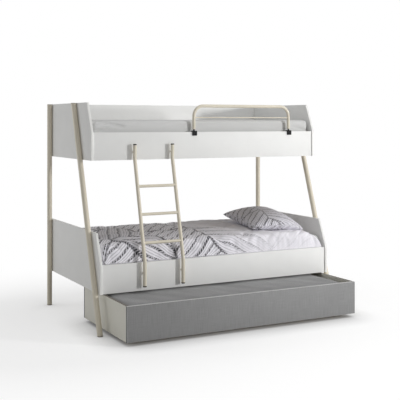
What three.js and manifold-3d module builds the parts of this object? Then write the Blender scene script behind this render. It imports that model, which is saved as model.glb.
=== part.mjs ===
// Bunk bed with a slanted front, a cranked ladder, a guard rail and a trundle on castors.
// Millimetres, +Z up. The bed's front faces -Y and its length runs along X. The origin is on the
// floor below the left end of the bed's back plane until the last lines, where the whole bed is
// moved so that its footprint is centred on the origin.

import * as THREE from 'three';
import { mergeVertices } from 'three/addons/utils/BufferGeometryUtils.js';
import Module from 'manifold-3d';

const wasm = await Module();
wasm.setup();

// Driving dimensions of the two bunks
const bedLength = 1980;
const upperDepth = 950;
const lowerDepth = 1135;
const upperBase = 1230;
const lowerBase = 281;
const boardThickness = 18;
const panelHeight = 430;
const panelSetback = 97;
const panelCornerRadius = 6;
const kneeRadius = 70;
const kneeRise = 5;
const railHeight = 207;
const railRecess = 8;

// The gap that is left between two pieces that touch
const seam = 0.3;

// Posts
const postDiameter = 40;
const postWall = 2;
const postTopInset = 335;
const postFootReach = 55;
const rearPostInset = 22;
const postCapHeight = 3;
const postFootHeight = 6;
const plugDepth = 22;

// Slats and what carries them
const slatDrop = 100;
const slatWidth = 70;
const slatThickness = 16;
const slatPitch = 139;
const slatEndClearance = 4;
const webbingWidth = 38;
const webbingThickness = 2;
const webbingInset = 170;
const ledgeWidth = 28;
const ledgeHeight = 38;
const beamWidth = 24;
const beamHeight = 60;

// Ladder
const ladderX = 493;
const ladderWidth = 312;
const ladderTube = 27;
const ladderStandoff = 18;
const ladderTopDrop = 96;
const ladderFootRise = 39;
const ladderUpperBendRise = 6;
const ladderLowerBendRise = 12;
const ladderBendRadius = 90;
const rungDiameter = 22;
const rungCount = 3;
const firstRungShare = 0.174;
const rungPitchShare = 0.277;
const ladderCapHeight = 8;
const ladderCapRim = 0.5;
const spacerDiameter = 14;

// Guard rail
const guardLeft = 855;
const guardRight = 1735;
const guardTube = 25;
const guardRod = 9;
const guardTopDrop = 20;
const guardRodShare = 0.5;
const guardBendRadius = 80;
const clampWidth = 38;
const clampWall = 8;
const clampGrip = 29;
const clampRadius = 5;
const clampSlack = 0.4;
const neckDiameter = 12;
const neckHeight = 13;
const neckPinLength = 18;
const neckPinDiameter = 10;
const neckPinSlack = 0.4;

// Bedding
const mattressThickness = 190;
const mattressEndClearance = 13;
const upperMattressClearance = 12;
const lowerMattressClearance = 24;
const mattressEdgeRadius = 26;
const mattressCornerRadius = 28;
const mattressDraw = 5;
const mattressCrown = 5;
const coverLoft = 56;
const coverCrown = 12;
const coverTuck = 6;
const coverClearance = 1.5;
const coverEdgeRun = 70;
const coverEdgePower = 2.5;
const coverFoldHeight = 7;
const coverFoldPitch = 210;
const softGap = 0.4;
const leastCornerRadius = 0.4;
const pillowLength = 740;
const pillowWidth = 450;
const pillowThickness = 178;
const pillowEndGap = 87;
const pillowSideGap = 92;
const pillowSink = 30;
const pillowTilt = 3;
const pillowTurn = -10;
const pillowFullness = 0.42;
const pillowDrawShare = 0.09;

// Trundle
const trundleEndInset = 35;
const trundleDepth = 845;
const trundlePullout = 410;
const trundleGroundGap = 29;
const trundleTopClearance = 6;
const trundleBoard = 18;
const trundleBaseThickness = 15;
const trundleBaseGap = 33;
const trundleMattressSideClearance = 4;
const trundleMattressRightGap = 39;
const trundleMattressTopDrop = 5;
const trundleCrown = 4;

// Castors
const castorRadius = 25;
const castorWidth = 20;
const castorInset = 150;
const castorCheek = 3;
const castorPlateLength = 60;
const castorPlateThickness = 3;
const castorCheekSlack = 1;
const castorCheekReach = 7;
const castorAxle = 8;
const castorBoreSlack = 0.4;
const castorTreadRadius = 4;

// Counts of facets and steps
const tubeSides = 20;
const postSides = 28;
const rodSides = 12;
const bendSteps = 4;
const cornerSteps = 4;
const wheelSides = 28;
const coverColumns = 30;
const coverRows = 12;
const pillowColumns = 12;
const pillowRows = 22;

// Sizes that follow
const innerLength = bedLength - 2 * boardThickness;
const upperInnerDepth = upperDepth - railRecess;
const lowerInnerDepth = lowerDepth - railRecess;
const panelTop = upperBase + panelHeight;
const upperRailTop = upperBase + railHeight;
const lowerRailTop = lowerBase + railHeight;
const postRadius = postDiameter / 2;
const trundleTop = lowerBase - trundleTopClearance;
const trundleFront = -(lowerDepth + trundlePullout);

// Finishes
const whiteBoard = new THREE.MeshStandardMaterial({ color: 0xe6e6e3, roughness: 0.5, metalness: 0 });
const creamSteel = new THREE.MeshStandardMaterial({ color: 0xe4dac4, roughness: 0.35, metalness: 0.1 });
const blackPlastic = new THREE.MeshStandardMaterial({ color: 0x222224, roughness: 0.5, metalness: 0 });
const greyPlastic = new THREE.MeshStandardMaterial({ color: 0x8f887a, roughness: 0.55, metalness: 0 });
const plainWood = new THREE.MeshStandardMaterial({ color: 0xd8bf96, roughness: 0.65, metalness: 0 });
const greyBoard = new THREE.MeshStandardMaterial({ color: 0x7b7b7c, roughness: 0.7, metalness: 0 });
const beigeBoard = new THREE.MeshStandardMaterial({ color: 0xbdbab0, roughness: 0.55, metalness: 0 });
const whiteCloth = new THREE.MeshStandardMaterial({ color: 0xdedee0, roughness: 0.9, metalness: 0 });
const printedCloth = new THREE.MeshStandardMaterial({ color: 0xcfccd4, roughness: 0.9, metalness: 0 });
const greyCloth = new THREE.MeshStandardMaterial({ color: 0x707174, roughness: 0.9, metalness: 0 });
const zincSteel = new THREE.MeshStandardMaterial({ color: 0xa9abad, roughness: 0.4, metalness: 0.9 });

// Adds a named mesh to a group and returns it.
function addMesh(group, name, geometry, material) {
  const mesh = new THREE.Mesh(geometry, material);
  mesh.name = name;
  group.add(mesh);
  return mesh;
}

// Adds a straight board that fills the spans of x, y and z, each written as [from, to].
function addBoard(group, name, material, x, y, z) {
  const geometry = new THREE.BoxGeometry(x[1] - x[0], y[1] - y[0], z[1] - z[0]);
  const mesh = addMesh(group, name, geometry, material);
  mesh.position.set((x[0] + x[1]) / 2, (y[0] + y[1]) / 2, (z[0] + z[1]) / 2);
  return mesh;
}

// Points of the round bend that replaces one corner. Its radius shrinks where the legs are short.
function bendPoints(before, corner, after, radius, steps) {
  const back = before.clone().sub(corner);
  const ahead = after.clone().sub(corner);
  const half = back.angleTo(ahead) / 2;
  const legShare = 0.45;
  const leg = Math.min(radius / Math.tan(half), legShare * back.length(), legShare * ahead.length());
  const reach = (leg * Math.tan(half)) / Math.sin(half);
  const start = corner.clone().addScaledVector(back.normalize(), leg);
  const end = corner.clone().addScaledVector(ahead.normalize(), leg);
  const centre = corner.clone().addScaledVector(back.clone().add(ahead).normalize(), reach);
  const from = start.sub(centre);
  const to = end.sub(centre);
  const sweep = from.angleTo(to);
  return Array.from({ length: steps + 1 }, (_, step) => {
    const share = step / steps;
    return centre
      .clone()
      .addScaledVector(from, Math.sin((1 - share) * sweep) / Math.sin(sweep))
      .addScaledVector(to, Math.sin(share * sweep) / Math.sin(sweep));
  });
}

// A line through the corners with each inner corner bent, as the stations of a tube.
function bentLine(corners, radius, steps) {
  const inner = corners
    .slice(1, -1)
    .flatMap((corner, index) => bendPoints(corners[index], corner, corners[index + 2], radius, steps));
  return [corners[0], ...inner, corners[corners.length - 1]];
}

// A closed outline through [x, y, radius] corners, as a flat shape.
function roundedShape(corners, steps) {
  const places = corners.map(([x, y]) => new THREE.Vector3(x, y, 0));
  const count = corners.length;
  const points = corners.flatMap(([, , radius], index) => {
    const corner = places[index];
    if (radius === 0) return [corner];
    const before = places[(index + count - 1) % count];
    const after = places[(index + 1) % count];
    return bendPoints(before, corner, after, radius, steps);
  });
  return new THREE.Shape(points.map((point) => new THREE.Vector2(point.x, point.y)));
}

// An outline drawn in Y and Z, extruded along +X from x = 0.
function sideExtrusion(shape, thickness) {
  const geometry = new THREE.ExtrudeGeometry(shape, { depth: thickness, bevelEnabled: false });
  const axes = new THREE.Matrix4().makeBasis(
    new THREE.Vector3(0, 1, 0),
    new THREE.Vector3(0, 0, 1),
    new THREE.Vector3(1, 0, 0),
  );
  return geometry.applyMatrix4(axes);
}

// A line of stations with one ring of the tube on each of them.
class StationCurve extends THREE.Curve {
  constructor(stations) {
    super();
    this.stations = stations;
  }

  getPoint(t, target = new THREE.Vector3()) {
    const last = this.stations.length - 1;
    const place = THREE.MathUtils.clamp(t, 0, 1) * last;
    const index = Math.min(Math.floor(place), last - 1);
    return target.lerpVectors(this.stations[index], this.stations[index + 1], place - index);
  }

  getUtoTmapping(u) {
    return u;
  }
}

// A round bar along the stations.
function bar(stations, diameter, sides) {
  const section = new THREE.Shape(
    Array.from({ length: sides }, (_, index) => {
      const angle = (index * 2 * Math.PI) / sides;
      return new THREE.Vector2(Math.cos(angle), Math.sin(angle)).multiplyScalar(diameter / 2);
    }),
  );
  const extrudePath = new StationCurve(stations);
  return new THREE.ExtrudeGeometry(section, { steps: stations.length - 1, extrudePath });
}

// A closed surface over rings of equal counts that run anticlockwise seen from above. Without a
// loop, the first and last ring are closed by a fan. With one, the last ring joins the first.
function loft(rings, looped = false) {
  const sides = rings[0].length;
  const points = rings.flat();
  const indices = [];
  const ringPairs = looped ? rings.length : rings.length - 1;
  for (let ring = 0; ring < ringPairs; ring += 1) {
    const low = ring * sides;
    const high = ((ring + 1) % rings.length) * sides;
    for (let side = 0; side < sides; side += 1) {
      const next = (side + 1) % sides;
      indices.push(low + side, low + next, high + next, low + side, high + next, high + side);
    }
  }
  if (!looped) {
    const closeRing = (ring, turnedUp) => {
      const first = ring * sides;
      const centre = rings[ring].reduce((sum, point) => sum.add(point), new THREE.Vector3());
      points.push(centre.divideScalar(sides));
      for (let side = 0; side < sides; side += 1) {
        const next = (side + 1) % sides;
        const edge = turnedUp ? [first + side, first + next] : [first + next, first + side];
        indices.push(points.length - 1, ...edge);
      }
    };
    closeRing(0, false);
    closeRing(rings.length - 1, true);
  }
  const geometry = new THREE.BufferGeometry().setFromPoints(points);
  geometry.setIndex(indices);
  geometry.computeVertexNormals();
  return geometry;
}

// A level ring round a point: an ellipse with half axes along X and Y.
function ovalRing(centre, radiusX, radiusY, sides) {
  return Array.from({ length: sides }, (_, index) => {
    const angle = (index * 2 * Math.PI) / sides;
    const offset = new THREE.Vector3(radiusX * Math.cos(angle), radiusY * Math.sin(angle), 0);
    return offset.add(centre);
  });
}

// A level ring in the form of a rectangle with round corners, smaller by the inset on every side.
function rectangleRing(length, width, radius, inset, height) {
  const corner = Math.max(radius - inset, leastCornerRadius);
  const halfX = length / 2 - inset - corner;
  const halfY = width / 2 - inset - corner;
  const quarters = [[1, 1], [-1, 1], [-1, -1], [1, -1]];
  return quarters.flatMap(([signX, signY], quarter) =>
    Array.from({ length: cornerSteps + 1 }, (_, step) => {
      const angle = ((quarter + step / cornerSteps) * Math.PI) / 2;
      const x = signX * halfX + corner * Math.cos(angle);
      const y = signY * halfY + corner * Math.sin(angle);
      return new THREE.Vector3(x, y, height);
    }),
  );
}

// Turns a closed mesh into a solid that can be joined and cut.
function toSolid(geometry) {
  const bare = geometry.clone();
  bare.deleteAttribute('normal');
  bare.deleteAttribute('uv');
  const merged = mergeVertices(bare);
  const vertProperties = new Float32Array(merged.attributes.position.array);
  const triVerts = new Uint32Array(merged.index.array);
  return new wasm.Manifold(new wasm.Mesh({ numProp: 3, vertProperties, triVerts }));
}

// Turns a joined or cut solid back into a mesh.
function toGeometry(solid) {
  const { numProp, vertProperties, triVerts } = solid.getMesh();
  const geometry = new THREE.BufferGeometry();
  const coordinates = Array.from({ length: vertProperties.length / numProp }, (_, index) =>
    Array.from(vertProperties.slice(index * numProp, index * numProp + 3)),
  ).flat();
  geometry.setAttribute('position', new THREE.Float32BufferAttribute(coordinates, 3));
  geometry.setIndex(Array.from(triVerts));
  geometry.computeVertexNormals();
  return geometry;
}

// Joins several closed meshes into one.
function joined(geometries) {
  const solids = geometries.map(toSolid);
  return toGeometry(solids.reduce((sum, solid) => sum.add(solid)));
}

// An end panel: level top, upright back, and a front edge that leans back above the knee.
function endPanelGeometry(depth, base) {
  const top = base + panelHeight;
  const knee = base + railHeight + kneeRise;
  const shape = roundedShape(
    [
      [0, base, 0],
      [0, top, 0],
      [-depth + panelSetback, top, panelCornerRadius],
      [-depth, knee, kneeRadius],
      [-depth, base, 0],
    ],
    cornerSteps,
  );
  return sideExtrusion(shape, boardThickness);
}

// The two end panels of one bunk.
function addEndPanels(group, bunk, depth, base) {
  const places = { left: 0, right: bedLength - boardThickness };
  for (const [side, x] of Object.entries(places)) {
    const panel = addMesh(group, `${bunk}_${side}_end_panel`, endPanelGeometry(depth, base), whiteBoard);
    panel.position.x = x;
  }
}

// The slats of one bunk, stapled to two strips of webbing that keep their spacing.
function slatMatGeometry(depth) {
  const length = depth - 2 * boardThickness - 2 * slatEndClearance;
  const count = Math.floor((innerLength - slatWidth - 2 * slatEndClearance) / slatPitch) + 1;
  const slats = Array.from({ length: count }, (_, index) => {
    const slat = new THREE.BoxGeometry(slatWidth, length, slatThickness);
    return slat.translate((index - (count - 1) / 2) * slatPitch, 0, 0);
  });
  const strips = [-1, 1].map((side) => {
    const strip = new THREE.BoxGeometry((count - 1) * slatPitch, webbingWidth, webbingThickness);
    return strip.translate(0, side * (length / 2 - webbingInset), -slatThickness / 2);
  });
  return joined([...slats, ...strips]);
}

// Ledges on the rails, and the slats on the ledges. Returns the height of the slats' top.
function addSlatBase(group, bunk, depth, base) {
  const slatTop = base + railHeight - slatDrop;
  const slatBottom = slatTop - slatThickness;
  const x = [boardThickness + seam, bedLength - boardThickness - seam];
  const z = [slatBottom - seam - ledgeHeight, slatBottom - seam];
  const frontFace = -depth + boardThickness + seam;
  const backFace = -boardThickness - seam;
  addBoard(group, `${bunk}_front_ledge`, plainWood, x, [frontFace, frontFace + ledgeWidth], z);
  addBoard(group, `${bunk}_back_ledge`, plainWood, x, [backFace - ledgeWidth, backFace], z);
  const mat = addMesh(group, `${bunk}_slat_mat`, slatMatGeometry(depth), plainWood);
  mat.position.set(bedLength / 2, -depth / 2, slatTop - slatThickness / 2);
  return slatTop;
}

// A mattress with drawn-in sides, rolled edges and a slight crown, standing on z = 0. It can be
// grown on every side, to cut the space for it from what lies over it.
function mattressGeometry(length, width, thickness, crown, grow = 0) {
  const crownShares = [0.06, 0.25, 0.6];
  const low = mattressEdgeRadius;
  const high = thickness - mattressEdgeRadius;
  const rollShare = 1 - Math.SQRT1_2;
  const roll = mattressEdgeRadius * rollShare;
  const sides = [
    [low, 0],
    [roll, roll],
    [0, low],
    [mattressDraw, thickness / 2],
    [0, high],
    [roll, thickness - roll],
    [low, thickness],
  ];
  const top = crownShares.map((share) => [
    low + (share * (width / 2 - low)),
    thickness + crown * Math.sin((share * Math.PI) / 2),
  ]);
  const rings = [...sides, ...top].map(([inset, height], index) => {
    const lift = index === 0 ? -grow : height < thickness / 2 ? 0 : grow;
    return rectangleRing(length, width, mattressCornerRadius, inset - grow, height + lift);
  });
  return loft(rings);
}

// The mattress that fits a bunk with the clearance to its rails, centred on the origin in plan.
function bunkMattressGeometry(depth, clearance, grow = 0) {
  const length = innerLength - 2 * mattressEndClearance;
  const width = depth - 2 * boardThickness - 2 * clearance;
  return mattressGeometry(length, width, mattressThickness, mattressCrown, grow);
}

// The mattress of one bunk, on its slats.
function addMattress(group, bunk, depth, clearance, slatTop) {
  const geometry = bunkMattressGeometry(depth, clearance);
  const mattress = addMesh(group, `${bunk}_mattress`, geometry, whiteCloth);
  mattress.position.set(bedLength / 2, -depth / 2, slatTop + seam);
}

// The upper bunk: end panels, a front rail that stands back from their edges, and a full-height
// back panel.
function upperBunk() {
  const group = new THREE.Group();
  const x = [boardThickness + seam, bedLength - boardThickness - seam];
  const front = [-upperInnerDepth, -upperInnerDepth + boardThickness];
  addEndPanels(group, 'upper', upperDepth, upperBase);
  addBoard(group, 'upper_front_rail', whiteBoard, x, front, [upperBase, upperRailTop]);
  addBoard(group, 'upper_back_panel', whiteBoard, x, [-boardThickness, 0], [upperBase, panelTop]);
  const slatTop = addSlatBase(group, 'upper', upperInnerDepth, upperBase);
  addMattress(group, 'upper', upperInnerDepth, upperMattressClearance, slatTop);
  return group;
}

// The lower bunk's boards: end panels, two equal rails and a beam under the middle of the slats.
function lowerBunk() {
  const group = new THREE.Group();
  const x = [boardThickness + seam, bedLength - boardThickness - seam];
  const front = [-lowerInnerDepth, -lowerInnerDepth + boardThickness];
  const z = [lowerBase, lowerRailTop];
  addEndPanels(group, 'lower', lowerDepth, lowerBase);
  addBoard(group, 'lower_front_rail', whiteBoard, x, front, z);
  addBoard(group, 'lower_back_rail', whiteBoard, x, [-boardThickness, 0], z);
  const slatTop = addSlatBase(group, 'lower', lowerInnerDepth, lowerBase);
  const beamTop = slatTop - slatThickness - seam;
  const beamY = [(-lowerInnerDepth - beamWidth) / 2, (-lowerInnerDepth + beamWidth) / 2];
  addBoard(group, 'lower_centre_beam', plainWood, x, beamY, [beamTop - beamHeight, beamTop]);
  addMattress(group, 'lower', lowerInnerDepth, lowerMattressClearance, slatTop);
  addBedding(group, slatTop + seam);
  return group;
}

// The height of the cover over the hem at a place in its plan, both shares from -1 to 1.
function coverHeight(alongShare, acrossShare, halfLength, halfWidth, rise) {
  const edgeFall = (share, half) => {
    const run = Math.min(coverEdgeRun, half);
    const distance = Math.min((1 - Math.abs(share)) * half, run) / run;
    return (1 - (1 - distance) ** coverEdgePower) ** (1 / coverEdgePower);
  };
  const edge = edgeFall(alongShare, halfLength) * edgeFall(acrossShare, halfWidth);
  const crown = coverCrown * (1 - alongShare ** 2) * (1 - acrossShare ** 2);
  const phase = (2 * Math.PI * (alongShare * halfLength + acrossShare * halfWidth)) / coverFoldPitch;
  const fold = coverFoldHeight * Math.sin(phase) * (1 - acrossShare) / 2;
  return edge * (rise + crown + fold);
}

// The cover's outer form: a level hem all round and a puffed top, over a flat floor.
function coverGeometry(length, width, rise) {
  const spread = (share) => Math.sin((share * Math.PI) / 2);
  const points = [];
  const indices = [];
  const place = (column, row) => column * (coverRows + 1) + row;
  for (let column = 0; column <= coverColumns; column += 1) {
    for (let row = 0; row <= coverRows; row += 1) {
      const alongShare = spread((2 * column) / coverColumns - 1);
      const acrossShare = spread((2 * row) / coverRows - 1);
      const height = coverHeight(alongShare, acrossShare, length / 2, width / 2, rise);
      points.push(new THREE.Vector3((alongShare * length) / 2, (acrossShare * width) / 2, height));
    }
  }
  for (let column = 0; column < coverColumns; column += 1) {
    for (let row = 0; row < coverRows; row += 1) {
      const corners = [place(column, row), place(column + 1, row), place(column + 1, row + 1)];
      indices.push(...corners, corners[0], corners[2], place(column, row + 1));
    }
  }
  const border = [
    ...Array.from({ length: coverColumns }, (_, index) => place(index, 0)),
    ...Array.from({ length: coverRows }, (_, index) => place(coverColumns, index)),
    ...Array.from({ length: coverColumns }, (_, index) => place(coverColumns - index, coverRows)),
    ...Array.from({ length: coverRows }, (_, index) => place(0, coverRows - index)),
  ];
  const centre = points.push(new THREE.Vector3(0, 0, 0)) - 1;
  border.forEach((corner, index) => indices.push(centre, border[(index + 1) % border.length], corner));
  const geometry = new THREE.BufferGeometry().setFromPoints(points);
  geometry.setIndex(indices);
  return geometry;
}

// A pillow lying flat round the origin: full in the middle, thin at the seam, sides drawn in
// between four pointed corners.
function pillowGeometry(grow = 0) {
  const points = [];
  const indices = [];
  const halfX = pillowWidth / 2 + grow;
  const halfY = pillowLength / 2 + grow;
  const spread = (share) => Math.sin((share * Math.PI) / 2);
  const surfaces = [1, -1].map((side) => {
    const names = new Map();
    for (let column = 0; column <= pillowColumns; column += 1) {
      for (let row = 0; row <= pillowRows; row += 1) {
        const u = spread((2 * column) / pillowColumns - 1);
        const v = spread((2 * row) / pillowRows - 1);
        const x = u * halfX * (1 - pillowDrawShare * (1 - v ** 2));
        const y = v * halfY * (1 - pillowDrawShare * (pillowWidth / pillowLength) * (1 - u ** 2));
        const swell = Math.max((1 - u ** 2) * (1 - v ** 2), 0) ** pillowFullness;
        points.push(new THREE.Vector3(x, y, side * (pillowThickness / 2 + grow) * swell));
        names.set(`${column},${row}`, points.length - 1);
      }
    }
    return { side, names };
  });
  for (const { side, names } of surfaces) {
    for (let column = 0; column < pillowColumns; column += 1) {
      for (let row = 0; row < pillowRows; row += 1) {
        const a = names.get(`${column},${row}`);
        const b = names.get(`${column + 1},${row}`);
        const c = names.get(`${column + 1},${row + 1}`);
        const d = names.get(`${column},${row + 1}`);
        indices.push(...(side > 0 ? [a, b, c, a, c, d] : [a, c, b, a, d, c]));
      }
    }
  }
  const geometry = new THREE.BufferGeometry().setFromPoints(points);
  geometry.setIndex(indices);
  return mergeVertices(geometry);
}

// The cover over the lower mattress, tucked in between the rails, hollowed by the mattress and
// dented by the pillow.
function addBedding(group, mattressBottom) {
  const hem = lowerRailTop - coverTuck;
  const length = innerLength - 2 * coverClearance;
  const width = lowerInnerDepth - 2 * boardThickness - 2 * coverClearance;
  const mattressTop = mattressBottom + mattressThickness;
  const coverTop = mattressTop + coverLoft;
  const outer = coverGeometry(length, width, coverTop - hem);
  outer.translate(bedLength / 2, -lowerInnerDepth / 2, hem);
  const core = bunkMattressGeometry(lowerInnerDepth, lowerMattressClearance, softGap);
  core.translate(bedLength / 2, -lowerInnerDepth / 2, mattressBottom);

  const pillowPlace = new THREE.Matrix4().compose(
    new THREE.Vector3(
      bedLength - boardThickness - pillowEndGap - pillowWidth / 2,
      -lowerInnerDepth + boardThickness + pillowSideGap + pillowLength / 2,
      coverTop + pillowThickness / 2 - pillowSink,
    ),
    new THREE.Quaternion().setFromEuler(
      new THREE.Euler(
        THREE.MathUtils.degToRad(pillowTilt),
        0,
        THREE.MathUtils.degToRad(pillowTurn),
      ),
    ),
    new THREE.Vector3(1, 1, 1),
  );
  const dent = pillowGeometry(softGap).applyMatrix4(pillowPlace);
  const cover = toSolid(outer).subtract(toSolid(core)).subtract(toSolid(dent));
  addMesh(group, 'coverlet', toGeometry(cover), printedCloth);
  const pillow = addMesh(group, 'pillow', pillowGeometry(), printedCloth);
  pillow.applyMatrix4(pillowPlace);
}

// One post: a tube whose two ends are cut level with the floor, with a plug in each end.
function addPost(group, name, x, footY, topY) {
  const lean = new THREE.Vector3(0, topY - footY, panelTop);
  const stretch = lean.length() / panelTop;
  const at = (z) => new THREE.Vector3(x, footY + ((topY - footY) * z) / panelTop, z);
  const ring = (z, radius) => ovalRing(at(z), radius, radius * stretch, postSides);
  const bottom = postFootHeight;
  const top = panelTop - postCapHeight;
  const bore = postRadius - postWall;
  const plug = bore - seam;
  const tubeRings = [
    ring(bottom, postRadius),
    ring(top, postRadius),
    ring(top, bore),
    ring(bottom, bore),
  ];
  const tube = loft(tubeRings, true);
  const cap = loft([
    ring(top - plugDepth, plug),
    ring(top + seam, plug),
    ring(top + seam, postRadius),
    ring(panelTop, postRadius),
  ]);
  const foot = loft([
    ring(0, bore),
    ring(bottom / 2, postRadius),
    ring(bottom - seam, postRadius),
    ring(bottom - seam, plug),
    ring(bottom + plugDepth, plug),
  ]);
  addMesh(group, `${name}_post`, tube, creamSteel);
  addMesh(group, `${name}_post_cap`, cap, greyPlastic);
  addMesh(group, `${name}_post_foot`, foot, greyPlastic);
}

// Four posts outside the end panels: upright at the rear, leaning at the front.
function posts() {
  const group = new THREE.Group();
  const sides = { left: -postRadius - seam, right: bedLength + postRadius + seam };
  for (const [side, x] of Object.entries(sides)) {
    addPost(group, `front_${side}`, x, -lowerDepth - postFootReach, -upperDepth + postTopInset);
    addPost(group, `rear_${side}`, x, -rearPostInset, -rearPostInset);
  }
  return group;
}

// The ladder: two cranked stiles that stand off the rails, three rungs, plugs and spacers.
function ladder() {
  const group = new THREE.Group();
  const upperY = -upperInnerDepth - ladderStandoff - ladderTube / 2;
  const lowerY = -lowerInnerDepth - ladderStandoff - ladderTube / 2;
  const top = upperRailTop - ladderTopDrop;
  const foot = lowerBase + ladderFootRise;
  const upperBend = upperBase + ladderUpperBendRise;
  const lowerBend = lowerRailTop + ladderLowerBendRise;
  const stileX = { left: ladderX - ladderWidth / 2, right: ladderX + ladderWidth / 2 };

  const stiles = Object.values(stileX).map((x) => {
    const corners = [
      new THREE.Vector3(x, upperY, top),
      new THREE.Vector3(x, upperY, upperBend),
      new THREE.Vector3(x, lowerY, lowerBend),
      new THREE.Vector3(x, lowerY, foot),
    ];
    return bar(bentLine(corners, ladderBendRadius, bendSteps), ladderTube, tubeSides);
  });
  const rungs = Array.from({ length: rungCount }, (_, index) => {
    const share = firstRungShare + index * rungPitchShare;
    const y = THREE.MathUtils.lerp(lowerY, upperY, share);
    const z = THREE.MathUtils.lerp(lowerBend, upperBend, share);
    const ends = [new THREE.Vector3(stileX.left, y, z), new THREE.Vector3(stileX.right, y, z)];
    return bar(ends, rungDiameter, rodSides);
  });
  addMesh(group, 'ladder_frame', joined([...stiles, ...rungs]), creamSteel);

  for (const [side, x] of Object.entries(stileX)) {
    addLadderCap(group, `ladder_${side}_top_cap`, x, upperY, top + seam, 1);
    addLadderCap(group, `ladder_${side}_bottom_cap`, x, lowerY, foot - seam, -1);
    addSpacer(group, `ladder_${side}_upper_spacer`, x, -upperInnerDepth, (top + upperBend) / 2);
    addSpacer(group, `ladder_${side}_lower_spacer`, x, -lowerInnerDepth, (foot + lowerBend) / 2);
  }
  return group;
}

// A shallow domed cap on the end of a stile, facing up or down.
function addLadderCap(group, name, x, y, z, direction) {
  const rim = ladderTube / 2 + ladderCapRim;
  const domeShare = 0.6;
  const profile = [
    new THREE.Vector2(0, 0),
    new THREE.Vector2(rim, 0),
    new THREE.Vector2(rim, ladderCapHeight * domeShare),
    new THREE.Vector2(rim * domeShare, ladderCapHeight),
    new THREE.Vector2(0, ladderCapHeight),
  ];
  const cap = addMesh(group, name, new THREE.LatheGeometry(profile, tubeSides), blackPlastic);
  cap.position.set(x, y, z);
  cap.rotation.x = (direction * Math.PI) / 2;
}

// A round spacer between a rail's face and a stile.
function addSpacer(group, name, x, railFace, z) {
  const length = ladderStandoff - 2 * seam;
  const geometry = new THREE.CylinderGeometry(spacerDiameter / 2, spacerDiameter / 2, length, tubeSides);
  const spacer = addMesh(group, name, geometry, creamSteel);
  spacer.position.set(x, railFace - ladderStandoff / 2, z);
}

// The guard rail: a bent tube with a thin rod across, on two clamps that grip the front rail.
function guardRail() {
  const group = new THREE.Group();
  const y = -upperInnerDepth + boardThickness / 2;
  const legFoot = upperRailTop + clampSlack + clampWall + neckHeight;
  const top = panelTop - guardTopDrop;
  const rodZ = THREE.MathUtils.lerp(legFoot, top, guardRodShare);
  const corners = [
    new THREE.Vector3(guardLeft, y, legFoot),
    new THREE.Vector3(guardLeft, y, top),
    new THREE.Vector3(guardRight, y, top),
    new THREE.Vector3(guardRight, y, legFoot),
  ];
  const hoop = toSolid(bar(bentLine(corners, guardBendRadius, 2 * bendSteps), guardTube, tubeSides));
  const rod = toSolid(
    bar([new THREE.Vector3(guardLeft, y, rodZ), new THREE.Vector3(guardRight, y, rodZ)], guardRod, rodSides),
  );
  const sockets = [guardLeft, guardRight].map((x) => {
    const bore = neckPinDiameter + 2 * neckPinSlack;
    const ends = [
      new THREE.Vector3(x, y, legFoot - neckPinSlack),
      new THREE.Vector3(x, y, legFoot + neckPinLength + neckPinSlack),
    ];
    return toSolid(bar(ends, bore, rodSides));
  });
  const frame = sockets.reduce((solid, socket) => solid.subtract(socket), hoop.add(rod));
  addMesh(group, 'guard_frame', toGeometry(frame), creamSteel);
  addClamp(group, 'guard_left_clamp', guardLeft, y, legFoot);
  addClamp(group, 'guard_right_clamp', guardRight, y, legFoot);
  return group;
}

// A clamp: an upside-down U over the rail, a round neck and the pin that enters the guard's leg.
function addClamp(group, name, x, y, legFoot) {
  const inner = boardThickness / 2 + clampSlack;
  const outer = inner + clampWall;
  const crotch = upperRailTop + clampSlack;
  const crown = crotch + clampWall;
  const foot = upperRailTop - clampGrip;
  const shape = roundedShape(
    [
      [-outer, foot, clampRadius],
      [-inner, foot, 0],
      [-inner, crotch, 0],
      [inner, crotch, 0],
      [inner, foot, 0],
      [outer, foot, clampRadius],
      [outer, crown, clampRadius],
      [-outer, crown, clampRadius],
    ],
    cornerSteps,
  );
  const saddle = sideExtrusion(shape, clampWidth).translate(x - clampWidth / 2, y, 0);
  const upright = (z) => new THREE.Vector3(x, y, z);
  const neckTop = legFoot - seam;
  const neck = bar([upright(crown - clampWall / 2), upright(neckTop)], neckDiameter, rodSides);
  const pin = bar([upright(crown), upright(legFoot + neckPinLength)], neckPinDiameter, rodSides);
  addMesh(group, name, joined([saddle, neck, pin]), blackPlastic);
}

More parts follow.
